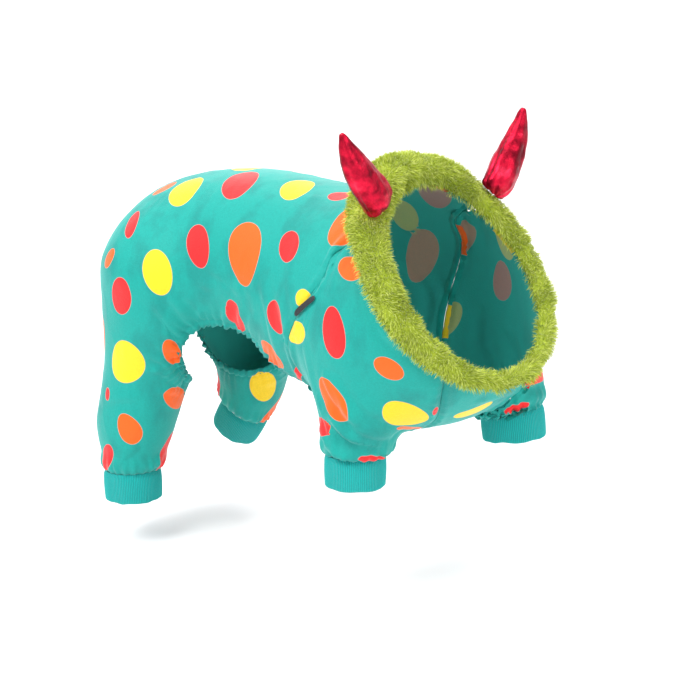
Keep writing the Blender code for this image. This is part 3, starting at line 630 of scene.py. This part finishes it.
def drape(name, points, normals, lines, fine):
    """Moves a panel's rest points into folds, gathers, seams and hems."""
    edges = EDGES[name]
    lift = fold_rise(points, normals, lines)
    soft = wave_noise(points * np.array((1.0, 1.0, 0.55)), WRINKLE_SIZE, 3.1)
    ridged = 1 - 2 * np.abs(wave_noise(points * np.array((1.6, 1.0, 0.6)), WRINKLE_SIZE * 0.8, 7.7))
    lift += WRINKLE_RISE * (soft + 0.7 * np.clip(ridged, 0.3, 1))
    slide = np.zeros_like(points)

    gap, along = edges.measure("seam", points)
    lift -= SEAM_SINK * np.exp(-(gap / SEAM_WIDTH) ** 2)
    lift += SEAM_PUFF * np.exp(-((gap - 2 * SEAM_WIDTH) / SEAM_WIDTH) ** 2)
    if fine:
        jitter = wave_noise(points, 20 * MM, 1.3) * 2.0
        pucker = np.cos(2 * math.pi * along / SEAM_PUCKER_PITCH + jitter)
        fade = np.exp(-(gap / (3.2 * SEAM_WIDTH)) ** 2) * np.clip(gap / SEAM_WIDTH, 0, 1)
        lift += SEAM_PUCKER * pucker * fade

    gap, along = edges.measure("open", points)
    fade = np.exp(-(gap / GATHER_REACH) ** 1.5)
    jitter = wave_noise(points, 16 * MM, 5.9) * 2.6
    phase = 2 * math.pi * along / GATHER_PITCH + jitter
    gather = (np.cos(phase) + 0.45 * np.cos(0.53 * phase + 1.0)) * (1.0 if fine else 0.2)
    lift += GATHER_RISE * gather * fade
    lift += HEM_BULGE * np.exp(-((gap - HEM_WIDTH / 2) / (HEM_WIDTH / 2.2)) ** 2)
    lift -= 0.8 * HEM_BULGE * np.exp(-((gap - HEM_WIDTH) / (1.3 * MM)) ** 2)

    gap, along = edges.measure("cuff", points)
    jitter = wave_noise(points, 18 * MM, 9.4) * 2.2
    phase = 2 * math.pi * along / CUFF_PITCH + jitter
    swell = 0.75 + 0.5 * wave_noise(points, 30 * MM, 2.2)
    lift += CUFF_BLOUSE * swell * np.exp(-((gap - 7 * MM) / (5.5 * MM)) ** 2)
    lift += (CUFF_GATHER if fine else 0.2 * CUFF_GATHER) * np.cos(phase) * np.exp(-(gap / (12 * MM)) ** 2)
    lift -= 0.7 * MM * np.exp(-(gap / (1.6 * MM)) ** 2)
    slide[:, 2] -= 1.6 * MM * swell * np.exp(-((gap - 5 * MM) / (5.0 * MM)) ** 2)
    return points + normals * lift[:, None] + slide


def close_seam(name, points):
    """Draws the sewn edge of a panel against its neighbour."""
    edges = EDGES[name]
    near = {}
    for other in PANELS:
        if other != name:
            tree = KDTree(len(EDGES[other].points))
            for index, point in enumerate(EDGES[other].points):
                tree.insert(point, index)
            tree.balance()
            near[other] = tree
    shift = np.zeros_like(edges.points)
    for i, kind in enumerate(edges.kinds):
        if kind == "seam":
            hit, _, gap = near[edges.facing[i]].find(edges.points[i])
            if gap < NEIGHBOUR_REACH:
                shift[i] = SEAM_CLOSED_SHARE * (np.array(hit) - edges.points[i])
    tree = edges.trees["seam"]
    if tree is None:
        return np.zeros_like(points)
    moves = np.zeros_like(points)
    for i, point in enumerate(points):
        _, index, gap = tree.find(point)
        if gap < 4 * MM:
            moves[i] = shift[index] * math.exp(-(gap / SEAM_CLOSED_REACH) ** 2)
    return moves


def panel_normals(points, quads):
    mesh = bpy.data.meshes.new("probe")
    mesh.from_pydata([tuple(point) for point in points], [], [tuple(quad) for quad in quads])
    normals = np.zeros(len(points) * 3)
    mesh.vertices.foreach_get("normal", normals)
    bpy.data.meshes.remove(mesh)
    return normals.reshape(-1, 3)


def turned_edge(points, normals, quads):
    """Rows of points that fold each open edge back under the cloth."""
    extra_points, extra_faces, sources = [], [], []
    base = len(points)
    for loop in boundary_loops(quads):
        ring = points[loop]
        along = np.roll(ring, -1, axis=0) - np.roll(ring, 1, axis=0)
        along /= np.linalg.norm(along, axis=1)[:, None]
        up = normals[loop]
        inward = np.cross(up, along)
        previous = list(loop)
        for depth, reach in TURNED_ROWS:
            new = ring - up * depth + inward * reach
            start = base + len(extra_points)
            extra_points.extend(new)
            sources.extend(loop)
            current = list(range(start, start + len(loop)))
            for i in range(len(loop)):
                k = (i + 1) % len(loop)
                extra_faces.append((previous[k], previous[i], current[i], current[k]))
            previous = current
    return np.array(extra_points), extra_faces, np.array(sources)


def build_panel(name, lines, dots, cloth, lining):
    """One cloth panel: a draped right side, a turned edge and a wrong side, joined as one mesh."""
    rest, rest_normals, quads = REST[name]
    moved = drape(name, rest, rest_normals, lines, True) + close_seam(name, rest)
    normals = panel_normals(moved, quads)
    hem, hem_faces, sources = turned_edge(moved, normals, quads)
    back_rest, back_normals, back_quads = subdivided(CAGES[name], LINING_LEVELS)
    back = drape(name, back_rest, back_normals, lines, False)
    back = back - CLOTH * panel_normals(back, back_quads)
    shift = len(moved) + len(hem)
    points = np.vstack((moved, hem, back))
    faces = [tuple(quad) for quad in quads] + hem_faces
    faces += [tuple(int(index) + shift for index in quad[::-1]) for quad in back_quads]
    obj = make_object(name + "_cloth", points, faces, (cloth, lining))
    edge, tint = print_fields(name, rest, rest_normals, dots)
    back_edge, back_tint = print_fields(name, back_rest, back_normals, dots)
    add_values(obj.data, "dot_edge", np.concatenate((edge, edge[sources], back_edge)) / MM)
    add_values(obj.data, "dot_tint", np.vstack((tint, tint[sources], back_tint)), "FLOAT_COLOR")
    first_back = len(quads) + len(hem_faces)
    slots = np.zeros(len(faces), int)
    slots[first_back:] = 1
    obj.data.polygons.foreach_set("material_index", slots)
    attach(obj, "root")
    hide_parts(name)
    return obj


# Materials
def new_material(name):
    material = bpy.data.materials.new(name)
    material.use_nodes = True
    tree = material.node_tree
    return material, tree, tree.nodes["Principled BSDF"]


def link(tree, source, target):
    tree.links.new(source, target)


def ramp(tree, factor, stops):
    node = tree.nodes.new("ShaderNodeValToRGB")
    while len(node.color_ramp.elements) < len(stops):
        node.color_ramp.elements.new(0.5)
    for element, (position, colour) in zip(node.color_ramp.elements, stops):
        element.position = position
        element.color = colour
    link(tree, factor, node.inputs["Fac"])
    return node.outputs["Color"]


def mix_colour(tree, factor, first, second):
    node = tree.nodes.new("ShaderNodeMix")
    node.data_type = "RGBA"
    for name, value in (("Factor", factor), ("A", first), ("B", second)):
        socket = node.inputs[name]
        if isinstance(value, bpy.types.NodeSocket):
            link(tree, value, socket)
        else:
            socket.default_value = value
    return node.outputs["Result"]


def texture(tree, kind, scale, detail=2.0, roughness=0.5, stretch=(1, 1, 1)):
    coords = tree.nodes.new("ShaderNodeTexCoord")
    mapping = tree.nodes.new("ShaderNodeMapping")
    mapping.inputs["Scale"].default_value = stretch
    node = tree.nodes.new(kind)
    node.inputs["Scale"].default_value = scale
    if "Detail" in node.inputs:
        node.inputs["Detail"].default_value = detail
    if "Roughness" in node.inputs:
        node.inputs["Roughness"].default_value = roughness
    link(tree, coords.outputs["Object"], mapping.inputs["Vector"])
    link(tree, mapping.outputs["Vector"], node.inputs["Vector"])
    return node


def bump(tree, height, strength, distance, below=None):
    node = tree.nodes.new("ShaderNodeBump")
    node.inputs["Strength"].default_value = strength
    node.inputs["Distance"].default_value = distance
    link(tree, height, node.inputs["Height"])
    if below is not None:
        link(tree, below, node.inputs["Normal"])
    return node.outputs["Normal"]


def math_node(tree, operation, first, second=None, clamp=False):
    node = tree.nodes.new("ShaderNodeMath")
    node.operation = operation
    node.use_clamp = clamp
    for value, socket in zip((first, second), node.inputs):
        if isinstance(value, bpy.types.NodeSocket):
            link(tree, value, socket)
        elif value is not None:
            socket.default_value = value
    return node.outputs["Value"]


def velour(name, wrong_side=False):
    """Short-pile velour with the printed dots; its wrong side is paler and matt."""
    material, tree, shader = new_material(name)
    edge = tree.nodes.new("ShaderNodeAttribute")
    edge.attribute_name = "dot_edge"
    tint = tree.nodes.new("ShaderNodeAttribute")
    tint.attribute_name = "dot_tint"
    fuzz = texture(tree, "ShaderNodeTexNoise", 2600, 2.0)
    pile = texture(tree, "ShaderNodeTexNoise", 700, 3.0, 0.6)
    patch = texture(tree, "ShaderNodeTexNoise", 38, 3.0, 0.55, (1, 1, 0.5))
    teal = ramp(tree, patch.outputs["Fac"], ((0.36, TEAL_DEEP), (0.52, TEAL), (0.68, TEAL)))
    ragged = math_node(tree, "MULTIPLY_ADD", fuzz.outputs["Fac"], 0.5)
    ragged.node.inputs[2].default_value = -0.25
    distance = math_node(tree, "ADD", edge.outputs["Fac"], ragged)
    inside = math_node(tree, "MULTIPLY_ADD", distance, -4.0, True)
    inside.node.inputs[2].default_value = 0.5
    rim_band = math_node(tree, "ABSOLUTE", math_node(tree, "SUBTRACT", distance, 0.15))
    rim = math_node(tree, "MULTIPLY_ADD", rim_band, -2.6, True)
    rim.node.inputs[2].default_value = 1.0
    dotted = mix_colour(tree, inside, teal, tint.outputs["Color"])
    rimmed = mix_colour(tree, math_node(tree, "MULTIPLY", rim, 0.55), dotted, DOT_RIM)
    shade = ramp(tree, pile.outputs["Fac"], ((0.30, (0.84, 0.84, 0.84, 1)), (0.70, (1, 1, 1, 1))))
    piled = tree.nodes.new("ShaderNodeMix")
    piled.data_type = "RGBA"
    piled.blend_type = "MULTIPLY"
    piled.inputs["Factor"].default_value = 0.75
    link(tree, rimmed, piled.inputs["A"])
    link(tree, shade, piled.inputs["B"])
    colour = piled.outputs["Result"]
    if wrong_side:
        colour = mix_colour(tree, 0.55, colour, TEAL_PALE)
    link(tree, colour, shader.inputs["Base Color"])
    rough = 0.95 if wrong_side else 0.62
    shader.inputs["Roughness"].default_value = rough
    shader.inputs["Specular IOR Level"].default_value = 0.2 if wrong_side else 0.32
    shader.inputs["Sheen Weight"].default_value = 0.15 if wrong_side else 0.30
    shader.inputs["Sheen Roughness"].default_value = 0.45
    shader.inputs["Sheen Tint"].default_value = (0.55, 1.0, 0.95, 1.0)
    coarse = bump(tree, pile.outputs["Fac"], 0.35, 0.0006)
    link(tree, bump(tree, fuzz.outputs["Fac"], 0.30, 0.0003, coarse), shader.inputs["Normal"])
    return material


def rib_knit():
    """Fine rib knit: its ribs are modelled, the stitches are relief in the material, and painted shade
    darkens the valleys between the ribs.
    """
    material, tree, shader = new_material("rib_knit")
    rib = tree.nodes.new("ShaderNodeAttribute")
    rib.attribute_name = "rib_turn"
    course = tree.nodes.new("ShaderNodeAttribute")
    course.attribute_name = "rib_course"
    depth = tree.nodes.new("ShaderNodeAttribute")
    depth.attribute_name = "rib_valley_shade"
    slant = math_node(tree, "ABSOLUTE", math_node(tree, "SINE", rib.outputs["Fac"]))
    wave = math_node(tree, "ADD", math_node(tree, "MULTIPLY", slant, 1.4), course.outputs["Fac"])
    stitch = math_node(tree, "SINE", wave)
    fuzz = texture(tree, "ShaderNodeTexNoise", 1800, 3.0)
    # painted shade: the colour darkens from the rib crests down into the valleys between them
    base = ramp(tree, depth.outputs["Fac"], ((0.0, (0.0, 0.27, 0.25, 1)), (0.75, TURQUOISE)))
    shade = ramp(tree, fuzz.outputs["Fac"], ((0.3, (0.86, 0.86, 0.86, 1)), (0.7, (1, 1, 1, 1))))
    mixed = tree.nodes.new("ShaderNodeMix")
    mixed.data_type = "RGBA"
    mixed.blend_type = "MULTIPLY"
    mixed.inputs["Factor"].default_value = 1.0
    link(tree, base, mixed.inputs["A"])
    link(tree, shade, mixed.inputs["B"])
    link(tree, mixed.outputs["Result"], shader.inputs["Base Color"])
    shader.inputs["Roughness"].default_value = 0.8
    shader.inputs["Specular IOR Level"].default_value = 0.25
    shader.inputs["Sheen Weight"].default_value = 0.25
    shader.inputs["Sheen Roughness"].default_value = 0.5
    stitched = bump(tree, stitch, 0.5, 0.0003)
    link(tree, bump(tree, fuzz.outputs["Fac"], 0.3, 0.0003, stitched), shader.inputs["Normal"])
    return material


def plush():
    """Lime plush; strands vary in tone, and painted shade darkens them towards their roots and on the
    backing between them.
    """
    material, tree, shader = new_material("plush")
    tip = tree.nodes.new("ShaderNodeAttribute")
    tip.attribute_name = "strand_root_shade"
    tone = tree.nodes.new("ShaderNodeAttribute")
    tone.attribute_name = "strand_tone"
    clump = texture(tree, "ShaderNodeTexNoise", 90, 2.0)
    varied = math_node(tree, "ADD", math_node(tree, "MULTIPLY", tone.outputs["Fac"], 0.7),
                       math_node(tree, "MULTIPLY", clump.outputs["Fac"], 0.45))
    colour = ramp(tree, varied, ((0.20, LIME_DEEP), (0.50, LIME), (0.85, LIME_PALE)))
    # painted shade: deep lime at the strand roots and on the backing, where the dense coat is shaded
    root_shaded = mix_colour(tree, tip.outputs["Fac"], LIME_DEEP, colour)
    link(tree, root_shaded, shader.inputs["Base Color"])
    shader.inputs["Roughness"].default_value = 0.75
    shader.inputs["Specular IOR Level"].default_value = 0.25
    shader.inputs["Sheen Weight"].default_value = 0.35
    shader.inputs["Sheen Roughness"].default_value = 0.4
    fibres = texture(tree, "ShaderNodeTexNoise", 1500, 3.0)
    link(tree, bump(tree, fibres.outputs["Fac"], 0.5, 0.0005), shader.inputs["Normal"])
    return material


def lame():
    """Metal-coated red cloth with fine creases and a soft crumpled shine."""
    material, tree, shader = new_material("lame")
    crease = texture(tree, "ShaderNodeTexNoise", 130, 4.0, 0.62, (1, 1, 0.55))
    grain = texture(tree, "ShaderNodeTexVoronoi", 1500)
    fine = texture(tree, "ShaderNodeTexNoise", 900, 2.0)
    blotch = texture(tree, "ShaderNodeTexNoise", 60, 3.0, 0.6)
    stops = ((0.36, HORN_DEEP), (0.55, HORN_RED), (0.72, HORN_PALE))
    colour = ramp(tree, blotch.outputs["Fac"], stops)
    link(tree, colour, shader.inputs["Base Color"])
    shader.inputs["Metallic"].default_value = 0.85
    rough = ramp(tree, fine.outputs["Fac"], ((0.3, (0.26, 0.26, 0.26, 1)), (0.7, (0.44, 0.44, 0.44, 1))))
    link(tree, rough, shader.inputs["Roughness"])
    creased = bump(tree, crease.outputs["Fac"], 0.45, 0.0025)
    link(tree, bump(tree, grain.outputs["Distance"], 0.18, 0.0004, creased), shader.inputs["Normal"])
    return material


def ribbon():
    """Black woven ribbon, bare."""
    material, tree, shader = new_material("ribbon")
    weave = texture(tree, "ShaderNodeTexWave", 900, 1.0)
    colour = ramp(tree, weave.outputs["Fac"], ((0.2, RIBBON_BLACK), (0.9, (0.03, 0.03, 0.035, 1))))
    link(tree, colour, shader.inputs["Base Color"])
    shader.inputs["Roughness"].default_value = 0.5
    link(tree, bump(tree, weave.outputs["Fac"], 0.4, 0.0002), shader.inputs["Normal"])
    return material


def studio_floor():
    material, tree, shader = new_material("studio_floor")
    soft = texture(tree, "ShaderNodeTexNoise", 3, 2.0)
    colour = ramp(tree, soft.outputs["Fac"], ((0.0, FLOOR_WHITE), (1.0, (0.88, 0.88, 0.89, 1))))
    link(tree, colour, shader.inputs["Base Color"])
    shader.inputs["Roughness"].default_value = 0.9
    shader.inputs["Specular IOR Level"].default_value = 0.1
    return material


# Ribbed cuffs
RIBS = 104
RIB_SAMPLES = 8
RIB_DEPTH = 0.42 * MM
CUFF_ROWS = 26
COURSE = 0.9 * MM
BAND_THICKNESS = 2.2 * MM
BAND_INSET = 0.4 * MM
HEM_SHARE = 0.045


def cuff_frame(node):
    """Middle, axis from sleeve to hem, radius and height of a turned cuff."""
    points = read_points(NODES[node].data)
    centre = points.mean(axis=0)
    axis = np.linalg.eigh(np.cov((points - centre).T))[1][:, 0]
    if axis[2] > 0:
        axis = -axis
    along = (points - centre) @ axis
    middle = centre + axis * (along.max() + along.min()) / 2
    offset = points - middle
    radius = np.linalg.norm(offset - (offset @ axis)[:, None] * axis, axis=1).max()
    return middle, axis, radius, along.max() - along.min()


def build_cuff(node, material):
    """A folded band of rib knit: the ribs run down the outside, over the hem and up the inside."""
    middle, axis, radius, height = cuff_frame(node)
    ahead = np.array((1.0, 0.0, 0.0))
    ahead = ahead - (ahead @ axis) * axis
    ahead /= np.linalg.norm(ahead)
    side = np.cross(axis, ahead)
    thick = BAND_THICKNESS
    seed = sum(ord(letter) for letter in node) % 17
    outline = []
    for share in np.linspace(0, 1, CUFF_ROWS):
        waist = 0.5 * MM * math.sin(math.pi * share)
        pinch = 1.1 * MM * math.exp(-(share / 0.10) ** 2)
        outline.append((radius - BAND_INSET + waist - pinch, -height / 2 + share * height * 0.955, 1.0))
    for turn in np.linspace(0, math.pi, 7)[1:-1]:
        bend = thick / 2
        outline.append((
            radius - BAND_INSET - bend + bend * math.cos(turn),
            height / 2 - height * HEM_SHARE + bend * math.sin(turn) * 0.9,
            0.7,
        ))
    for share in np.linspace(0, 1, CUFF_ROWS // 2):
        drop = height / 2 - height * HEM_SHARE - share * height * 0.94
        outline.append((radius - thick - BAND_INSET, drop, 0.6))
    columns = RIBS * RIB_SAMPLES
    angles = 2 * math.pi * np.arange(columns) / columns
    rib = 0.5 + 0.5 * np.cos(RIBS * angles)
    rib = rib ** 0.8
    wobble = np.array([
        noise.noise(Vector((math.cos(angle) * 1.6, math.sin(angle) * 1.6, seed))) for angle in angles
    ])
    hem_wave = np.array([
        noise.noise(Vector((math.cos(angle) * 2.4, math.sin(angle) * 2.4, seed + 5.0))) for angle in angles
    ])
    rows, turns, courses, rib_shade_rows = [], [], [], []
    travel = 0.0
    last = None
    for reach, drop, show in outline:
        if last is not None:
            travel += math.hypot(reach - last[0], drop - last[1])
        last = (reach, drop)
        share = (drop + height / 2) / height
        out = reach + RIB_DEPTH * show * (rib - 0.5) + 0.9 * MM * wobble * share
        down = drop + 1.1 * MM * hem_wave * share
        ring = (middle
                + down[:, None] * axis
                + out[:, None] * (np.cos(angles)[:, None] * ahead + np.sin(angles)[:, None] * side))
        rows.append(ring)
        turns.append(RIBS * angles / 2)
        courses.append(np.full(columns, 2 * math.pi * travel / COURSE))
        rib_shade_rows.append(rib)
    faces = []
    for i in range(len(rows) - 1):
        for j in range(columns):
            k = (j + 1) % columns
            faces.append((i * columns + j, i * columns + k, (i + 1) * columns + k, (i + 1) * columns + j))
    obj = make_object(node + "_knit", np.vstack(rows), faces, (material,))
    add_values(obj.data, "rib_turn", np.concatenate(turns))
    add_values(obj.data, "rib_course", np.concatenate(courses))
    # the rib profile, stored for the painted shade in the rib valleys
    add_values(obj.data, "rib_valley_shade", np.concatenate(rib_shade_rows))
    face_out(obj, Vector(middle))
    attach(obj, "root")
    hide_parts(node)
    return obj


def face_out(obj, middle):
    """Turns the faces so that the first one looks away from the middle."""
    first = obj.data.polygons[0]
    if first.normal.dot(first.center - middle) < 0:
        obj.data.flip_normals()


# Hood
STRANDS = 46000
STRAND_LENGTH = 5.2 * MM
STRAND_WIDTH = 0.55 * MM
HOOD_LUMP = 1.1 * MM
STRAND_SEED = 5


def build_hood(material):
    """The plush hood: a lumpy backing and a dense coat of short leaning strands."""
    mesh = quad_cage("hood", FLATNESS)
    points, normals, quads = subdivided(mesh, 2)
    lumps = wave_noise(points, 17 * MM, 4.4)
    points = points + normals * (HOOD_LUMP * lumps - 0.8 * MM)[:, None]
    backing = [tuple(quad) for quad in quads]
    corners = points[quads]
    diagonals = np.cross(corners[:, 2] - corners[:, 0], corners[:, 3] - corners[:, 1])
    areas = 0.5 * np.linalg.norm(diagonals, axis=1)
    rng = np.random.default_rng(STRAND_SEED)
    picks = rng.choice(len(quads), STRANDS, p=areas / areas.sum())
    u, v = rng.random(STRANDS)[:, None], rng.random(STRANDS)[:, None]
    chosen = corners[picks]
    roots = ((chosen[:, 0] * (1 - u) + chosen[:, 1] * u) * (1 - v)
             + (chosen[:, 3] * (1 - u) + chosen[:, 2] * u) * v)
    up = np.cross(chosen[:, 2] - chosen[:, 0], chosen[:, 3] - chosen[:, 1])
    up /= np.linalg.norm(up, axis=1)[:, None]
    drift = np.stack([wave_noise(roots, 14 * MM, seed) for seed in (1.1, 2.7, 4.9)], axis=1)
    lean = rng.normal(0, 0.38, (STRANDS, 3)) + 1.5 * drift + np.array((0.0, 0.0, -0.28))
    tips = up + lean
    tips /= np.linalg.norm(tips, axis=1)[:, None]
    length = STRAND_LENGTH * rng.uniform(0.6, 1.15, STRANDS) * (1 + 0.5 * drift[:, 0])
    across = np.cross(tips, rng.normal(0, 1, (STRANDS, 3)))
    across /= np.linalg.norm(across, axis=1)[:, None]
    across *= STRAND_WIDTH / 2
    bend = up * 0.5 + tips * 0.5
    middle = roots + bend * (0.55 * length)[:, None]
    end = middle + tips * (0.55 * length)[:, None] + np.array((0.0, 0.0, -0.0004))
    roots = roots - up * 0.3 * MM
    taper = 0.8 * across
    corners = (roots - across, roots + across, middle + taper, middle - taper, end)
    strands = np.stack(corners, axis=1)
    base = len(points)
    faces = list(backing)
    for i in range(STRANDS):
        start = base + 5 * i
        faces.append((start, start + 1, start + 2, start + 3))
        faces.append((start + 3, start + 2, start + 4))
    obj = make_object("hood_plush", np.vstack((points, strands.reshape(-1, 3))), faces, (material,))
    tone = rng.random(STRANDS)
    # painted shade: low values at the strand roots and on the backing darken them in the plush material
    root_shade_values = np.concatenate((np.full(base, 0.35), np.tile((0.25, 0.25, 0.8, 0.8, 1.0), STRANDS)))
    add_values(obj.data, "strand_root_shade", root_shade_values)
    add_values(obj.data, "strand_tone", np.concatenate((np.full(base, 0.5), np.repeat(tone, 5))))
    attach(obj, "root")
    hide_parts("hood")
    return obj


# Horns
HORN_WRINKLE = 1.1 * MM
HORN_SEAM = 0.9 * MM


def build_horn(node, material):
    """A stuffed horn: softly creased along its length, with a seam down each side."""
    mesh = quad_cage(node, FLATNESS)
    points, normals, quads = subdivided(mesh, 4)
    centre = points.mean(axis=0)
    spread = np.linalg.eigh(np.cov((points - centre).T))
    axis = spread[1][:, 2]
    if axis[2] < 0:
        axis = -axis
    wide = spread[1][:, 1]
    thin = np.cross(axis, wide)
    along = (points - centre) @ axis
    along = (along - along.min()) / (along.max() - along.min())
    offset = points - centre
    angle = np.arctan2(offset @ thin, offset @ wide)
    creases = np.array([
        noise.noise(Vector((2.1 * math.cos(a), 2.1 * math.sin(a), 1.9 * t)) + Vector((len(node), 0, 0)))
        for a, t in zip(angle, along)
    ])
    rings = wave_noise(points * np.array((1.0, 1.0, 2.2)), 13 * MM, float(len(node)))
    lift = HORN_WRINKLE * (creases * 1.2 + 0.8 * rings) * np.clip(1.2 - along, 0.25, 1)
    seam = np.exp(-((np.abs(np.sin(angle)) * 12 * MM * (1.1 - along)) / (1.1 * MM)) ** 2)
    lift -= HORN_SEAM * seam * (np.abs(np.cos(angle)) > 0.6) * np.clip(along * 8, 0, 1)
    creased = points + normals * lift[:, None]
    obj = make_object(node + "_lame", creased, [tuple(quad) for quad in quads], (material,))
    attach(obj, "root")
    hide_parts(node)
    return obj


def build_label(material):
    """The bare ribbon tab, slightly curled off the cloth."""
    mesh = quad_cage("side_label", LABEL_FLATNESS)
    for edge in mesh.edges:
        edge.use_edge_sharp = False
    points, normals, quads = subdivided(mesh, 3)
    middle = points.mean(axis=0)
    outward = np.array((0.0, -1.0, 0.0))
    along = (points - middle) @ np.array((0.78, 0.0, 0.62))
    lift = 0.6 * MM + 0.5 * MM * np.cos(along / (6 * MM))
    curled = points + lift[:, None] * outward
    obj = make_object("side_label_ribbon", curled, [tuple(quad) for quad in quads], (material,))
    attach(obj, "root")
    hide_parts("side_label")
    return obj


# Stage and lights
FLOOR_FRONT = -2.5
FLOOR_BACK = 1.6
STAGE_CURVE = 0.9
BACKDROP_TOP = 3.5
STAGE_HALF_WIDTH = 4.0
STAGE_STEPS = 12
LIGHTS = (
    # name, towards the camera, right, up, distance, size, power
    ("key", 0.8, -0.75, 0.9, 2.2, 1.1, 42),
    ("fill", 0.9, 1.0, 0.3, 2.4, 1.6, 22),
    ("top", -0.25, 0.0, 1.0, 1.9, 1.4, 26),
    ("behind", -0.9, 0.0, 0.7, 2.2, 1.4, 14),
)
WORLD_COLOUR = (0.95, 0.96, 1.0, 1.0)
WORLD_STRENGTH = 0.62


def build_stage():
    """A pale floor that curves up into a backdrop."""
    profile = []
    for distance in np.linspace(FLOOR_FRONT, FLOOR_BACK, STAGE_STEPS):
        profile.append((distance, 0.0))
    for turn in np.linspace(0, math.pi / 2, STAGE_STEPS)[1:]:
        profile.append((FLOOR_BACK + STAGE_CURVE * math.sin(turn), STAGE_CURVE * (1 - math.cos(turn))))
    profile.append((FLOOR_BACK + STAGE_CURVE, BACKDROP_TOP))
    flat_back = Vector((-BACK.x, -BACK.y, 0.0)).normalized()
    points, faces = [], []
    for distance, rise in profile:
        for side in (-STAGE_HALF_WIDTH, STAGE_HALF_WIDTH):
            spot = flat_back * distance + RIGHT * side
            points.append((spot.x, spot.y, FLOOR_Z + rise))
    for i in range(len(profile) - 1):
        faces.append((2 * i, 2 * i + 1, 2 * i + 3, 2 * i + 2))
    obj = make_object("floor", points, faces, (studio_floor(),))


def add_light(name, direction, distance, size, power):
    data = bpy.data.lights.new(name, "AREA")
    data.shape = "DISK"
    data.size = size
    data.energy = power
    obj = bpy.data.objects.new(name, data)
    spot = Vector(direction).normalized() * distance + CAMERA_TARGET
    obj.location = spot
    obj.rotation_euler = (CAMERA_TARGET - spot).to_track_quat("-Z", "Y").to_euler()
    bpy.context.scene.collection.objects.link(obj)


def build_camera_and_lights():
    data = bpy.data.cameras.new("photo_camera")
    data.lens = LENS_MM
    data.sensor_width = SENSOR_MM
    data.sensor_fit = "HORIZONTAL"
    camera = bpy.data.objects.new("photo_camera", data)
    camera.location = EYE
    camera.rotation_euler = (-BACK).to_track_quat("-Z", "Y").to_euler()
    bpy.context.scene.collection.objects.link(camera)
    bpy.context.scene.camera = camera
    for name, toward, right, rise, distance, size, power in LIGHTS:
        add_light(name, BACK * toward + RIGHT * right + Vector((0, 0, rise)), distance, size, power)
    world = bpy.data.worlds.new("studio")
    world.use_nodes = True
    shade = world.node_tree.nodes["Background"]
    shade.inputs["Color"].default_value = WORLD_COLOUR
    shade.inputs["Strength"].default_value = WORLD_STRENGTH
    bpy.context.scene.world = world
    bpy.context.scene.view_settings.view_transform = "Standard"


build_camera_and_lights()
build_stage()
SEEN_DOTS = photo_dots()
ALL_DOTS = SEEN_DOTS + hidden_dots(SEEN_DOTS)
LINES = fold_lines()
VELOUR = velour("fleece")
WRONG_SIDE = velour("fleece_back", wrong_side=True)
for panel_name in PANELS:
    build_panel(panel_name, LINES, ALL_DOTS, VELOUR, WRONG_SIDE)
KNIT = rib_knit()
for cuff_name in CUFFS:
    build_cuff(cuff_name, KNIT)
build_hood(plush())
LAME = lame()
for horn_name in ("horn_right", "horn_left"):
    build_horn(horn_name, LAME)
build_label(ribbon())
